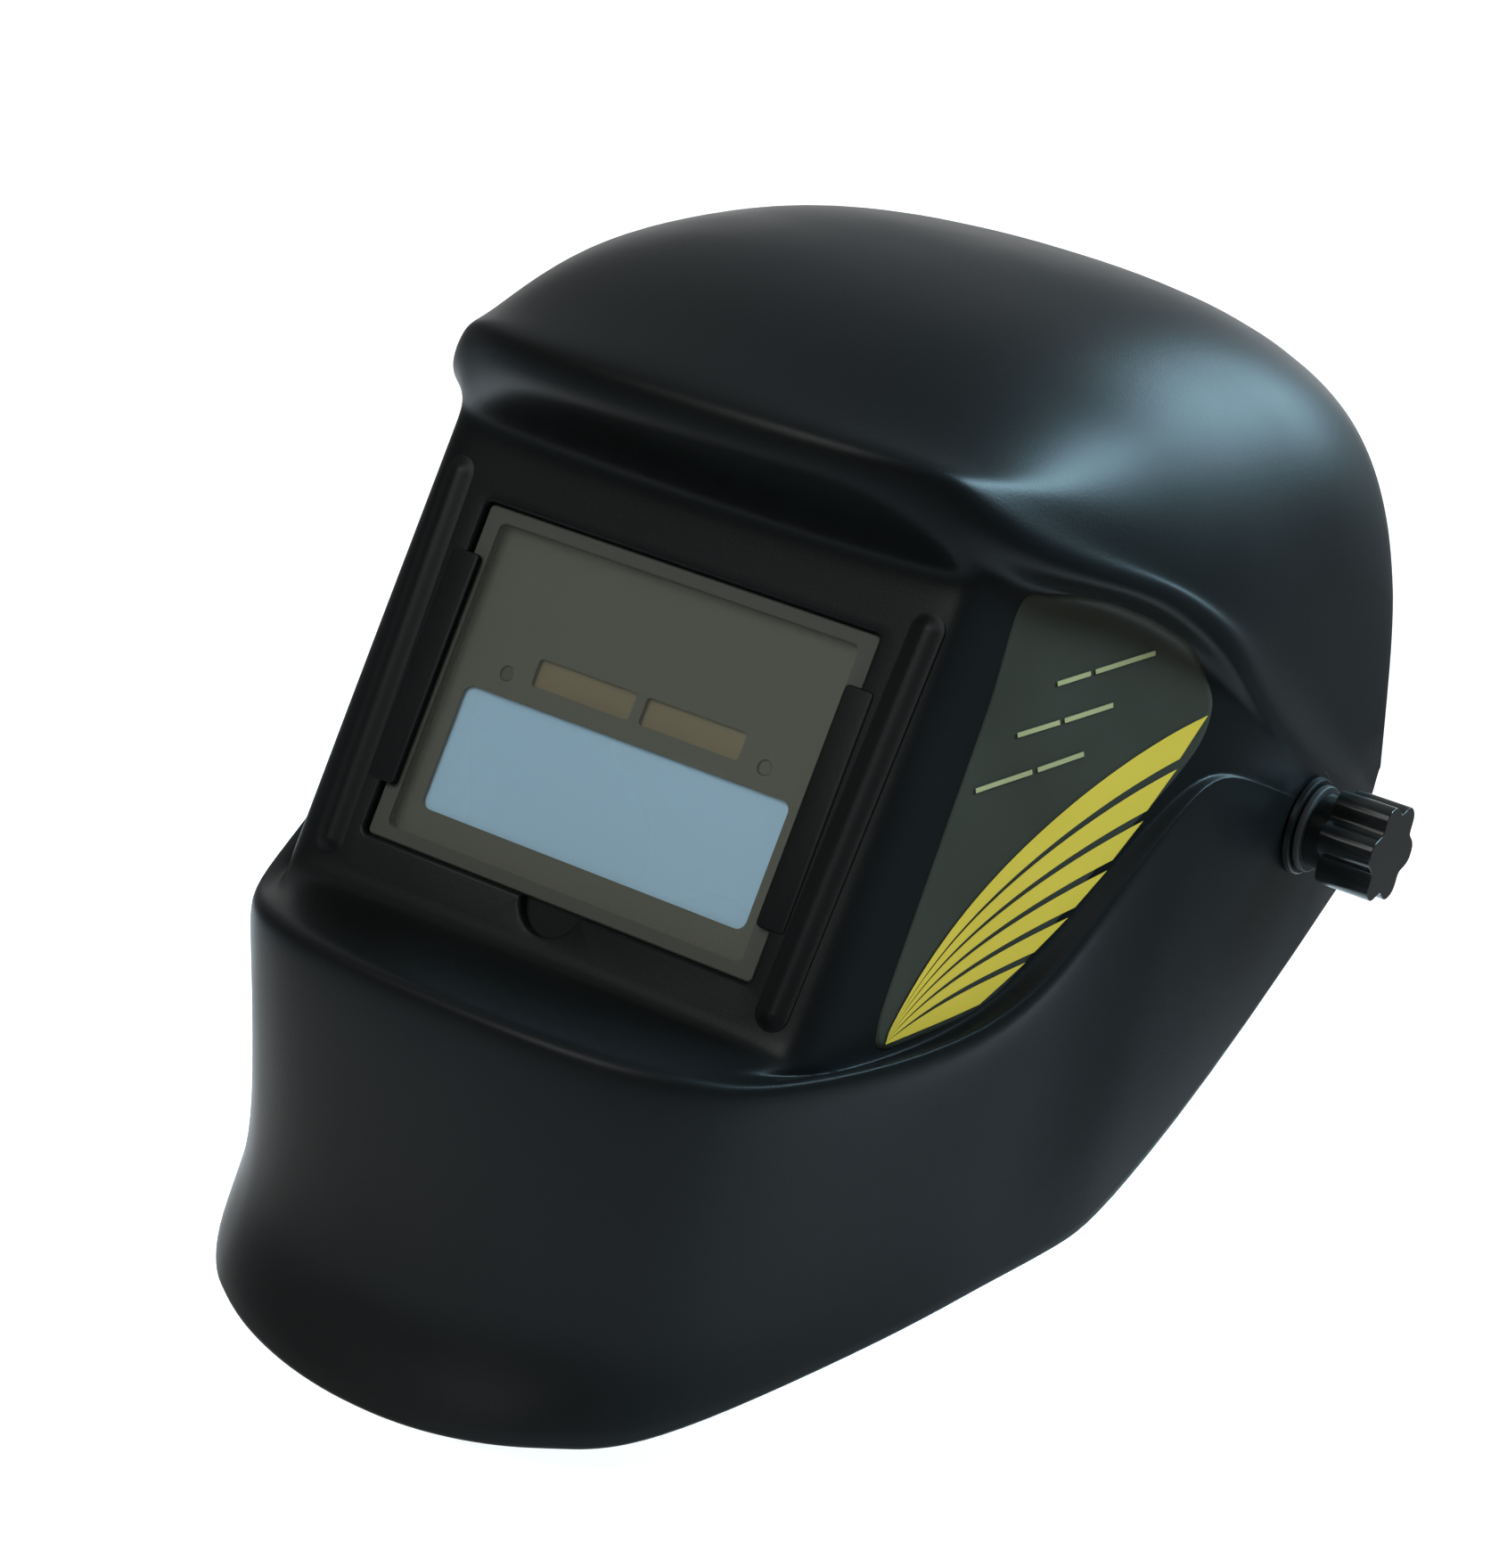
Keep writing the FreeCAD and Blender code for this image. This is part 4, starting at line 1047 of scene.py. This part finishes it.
# ---- stage, light and camera ----
FLOOR_Z = cad_box[0][2] - 0.001
FLOOR_FLAT, FLOOR_BEND, FLOOR_TOP = 3.0, 1.0, 1.6       # metres
FLOOR_TURN = math.radians(29.0)     # puts the glowing part straight behind the helmet
CAMERA_TURN, CAMERA_DOWN, CAMERA_ROLL = 29.04, 9.608, 14.947    # degrees
CAMERA_PLACE = (0.5128, -1.0035, 0.1545)
GLOW = 0.82
FLOOR_SHADE = 0.45              # painted shade: the floor's paint close around the helmet, as a share of its white


def floor_paint():
    """Pale paint, greyer close around the helmet as painted shade, and softly glowing where it lies behind
    it.
    """
    paint = material("floor_white", (0.62, 0.62, 0.62), 0.8, grain=40, bump=0.0, vary=0.005, spec=0.1)
    tree = paint.node_tree
    place = node(tree, "ShaderNodeTexCoord")
    split = node(tree, "ShaderNodeSeparateXYZ")
    tree.links.new(place.outputs["Object"], split.inputs["Vector"])
    across = math_node(tree, "ABSOLUTE", split.outputs["X"], 0.0)
    reach = math_node(tree, "MULTIPLY", split.outputs["Y"], 0.215)
    aside = mapped(tree, math_node(tree, "SUBTRACT", across, reach), 0.26, 0.50, 1.0, 0.05, "SMOOTHSTEP")
    ahead = mapped(tree, split.outputs["Y"], -0.42, -0.20, 0.05, 1.0, "SMOOTHSTEP")
    behind = math_node(tree, "MULTIPLY", aside, ahead)
    shader = tree.nodes["Principled BSDF"]
    shader.inputs["Emission Color"].default_value = (1, 1, 1, 1)
    tree.links.new(math_node(tree, "MULTIPLY", behind, GLOW), shader.inputs["Emission Strength"])
    # painted shade: the base colour falls to FLOOR_SHADE of its white close around the helmet, away from the
    # glow and the far floor
    shade = node(tree, "ShaderNodeVectorMath", operation="SCALE")
    tree.links.new(shader.inputs["Base Color"].links[0].from_socket, shade.inputs[0])
    away = node(tree, "ShaderNodeVectorMath", operation="LENGTH")
    tree.links.new(place.outputs["Object"], away.inputs[0])
    far = mapped(tree, away.outputs["Value"], 1.2, FLOOR_FLAT, 0.0, 1.0, "SMOOTHSTEP")
    pale = math_node(tree, "MAXIMUM", behind, far)
    share = math_node(tree, "ADD", math_node(tree, "MULTIPLY", pale, 1 - FLOOR_SHADE), FLOOR_SHADE)
    tree.links.new(share, shade.inputs["Scale"])
    tree.links.new(shade.outputs["Vector"], shader.inputs["Base Color"])
    return paint


def round_floor():
    """Round floor whose edge rises all round, so that every side has the same backdrop."""
    profile = [(FLOOR_FLAT * i / 12, 0.0) for i in range(1, 13)]
    for i in range(1, 13):
        a = math.radians(90 * i / 12)
        profile.append((FLOOR_FLAT + FLOOR_BEND * math.sin(a), FLOOR_BEND - FLOOR_BEND * math.cos(a)))
    profile.append((FLOOR_FLAT + FLOOR_BEND, FLOOR_TOP))
    turns = [2 * math.pi * i / 96 for i in range(96)]
    build = Build()
    build.loft([[(r * math.cos(a) / MM, r * math.sin(a) / MM, height / MM) for a in turns]
                for r, height in profile], cap_first=True)
    floor = link("studio_floor", build.mesh("studio_floor"), floor_paint(), None, sharp=None)
    floor.matrix_world = Matrix.Translation((0, 0, FLOOR_Z)) @ Matrix.Rotation(FLOOR_TURN, 4, "Z")


round_floor()


def area_light(name, azimuth, elevation, distance, size, power, spread, color=(1, 1, 1)):
    """Soft box aimed at the helmet; azimuth 0 is the front, 90 the wearer's left."""
    aim = Vector((0.0, -0.06, 0.03))
    az, el = math.radians(azimuth), math.radians(elevation)
    way = Vector((math.sin(az) * math.cos(el), -math.cos(az) * math.cos(el), math.sin(el)))
    data = bpy.data.lights.new(name, "AREA")
    data.energy = power
    data.color = color
    data.shape = "RECTANGLE"
    data.size, data.size_y = size
    data.spread = math.radians(spread)
    lamp = bpy.data.objects.new(name, data)
    bpy.context.scene.collection.objects.link(lamp)
    lamp.location = aim + way * distance
    lamp.rotation_euler = way.to_track_quat("Z", "Y").to_euler()


SKY_BLUE = (0.50, 0.82, 1.0)
area_light("key_side", 118, 47, 1.8, (0.75, 0.42), 8.0, 50, SKY_BLUE)
area_light("key_back", 165, 36, 1.8, (1.0, 0.65), 2.6, 50, SKY_BLUE)
area_light("front_fill", -8, 30, 2.2, (1.5, 1.5), 6.5, 60)


def make_world():
    """Soft sky, brighter overhead than at the horizon."""
    world = bpy.data.worlds.new("studio")
    bpy.context.scene.world = world
    world.use_nodes = True
    tree = world.node_tree
    place = node(tree, "ShaderNodeTexCoord")
    split = node(tree, "ShaderNodeSeparateXYZ")
    tree.links.new(place.outputs["Generated"], split.inputs["Vector"])
    sky = tree.nodes["Background"]
    sky.inputs["Color"].default_value = (0.93, 0.97, 1.0, 1)
    strength = mapped(tree, split.outputs["Z"], 0.0, 0.75, 0.05, 0.60, "SMOOTHSTEP")
    tree.links.new(strength, sky.inputs["Strength"])


make_world()
bpy.context.scene.view_settings.view_transform = "Standard"


def make_camera():
    """Long lens on the wearer's left front, looking slightly down and tilted sideways."""
    data = bpy.data.cameras.new("camera")
    data.lens = 97.2
    data.sensor_width = 36
    camera = bpy.data.objects.new("camera", data)
    bpy.context.scene.collection.objects.link(camera)
    camera.matrix_world = (Matrix.Translation(CAMERA_PLACE)
                           @ Matrix.Rotation(math.radians(CAMERA_TURN), 4, "Z")
                           @ Matrix.Rotation(math.radians(90 - CAMERA_DOWN), 4, "X")
                           @ Matrix.Rotation(math.radians(CAMERA_ROLL), 4, "Z"))
    bpy.context.scene.camera = camera


make_camera()
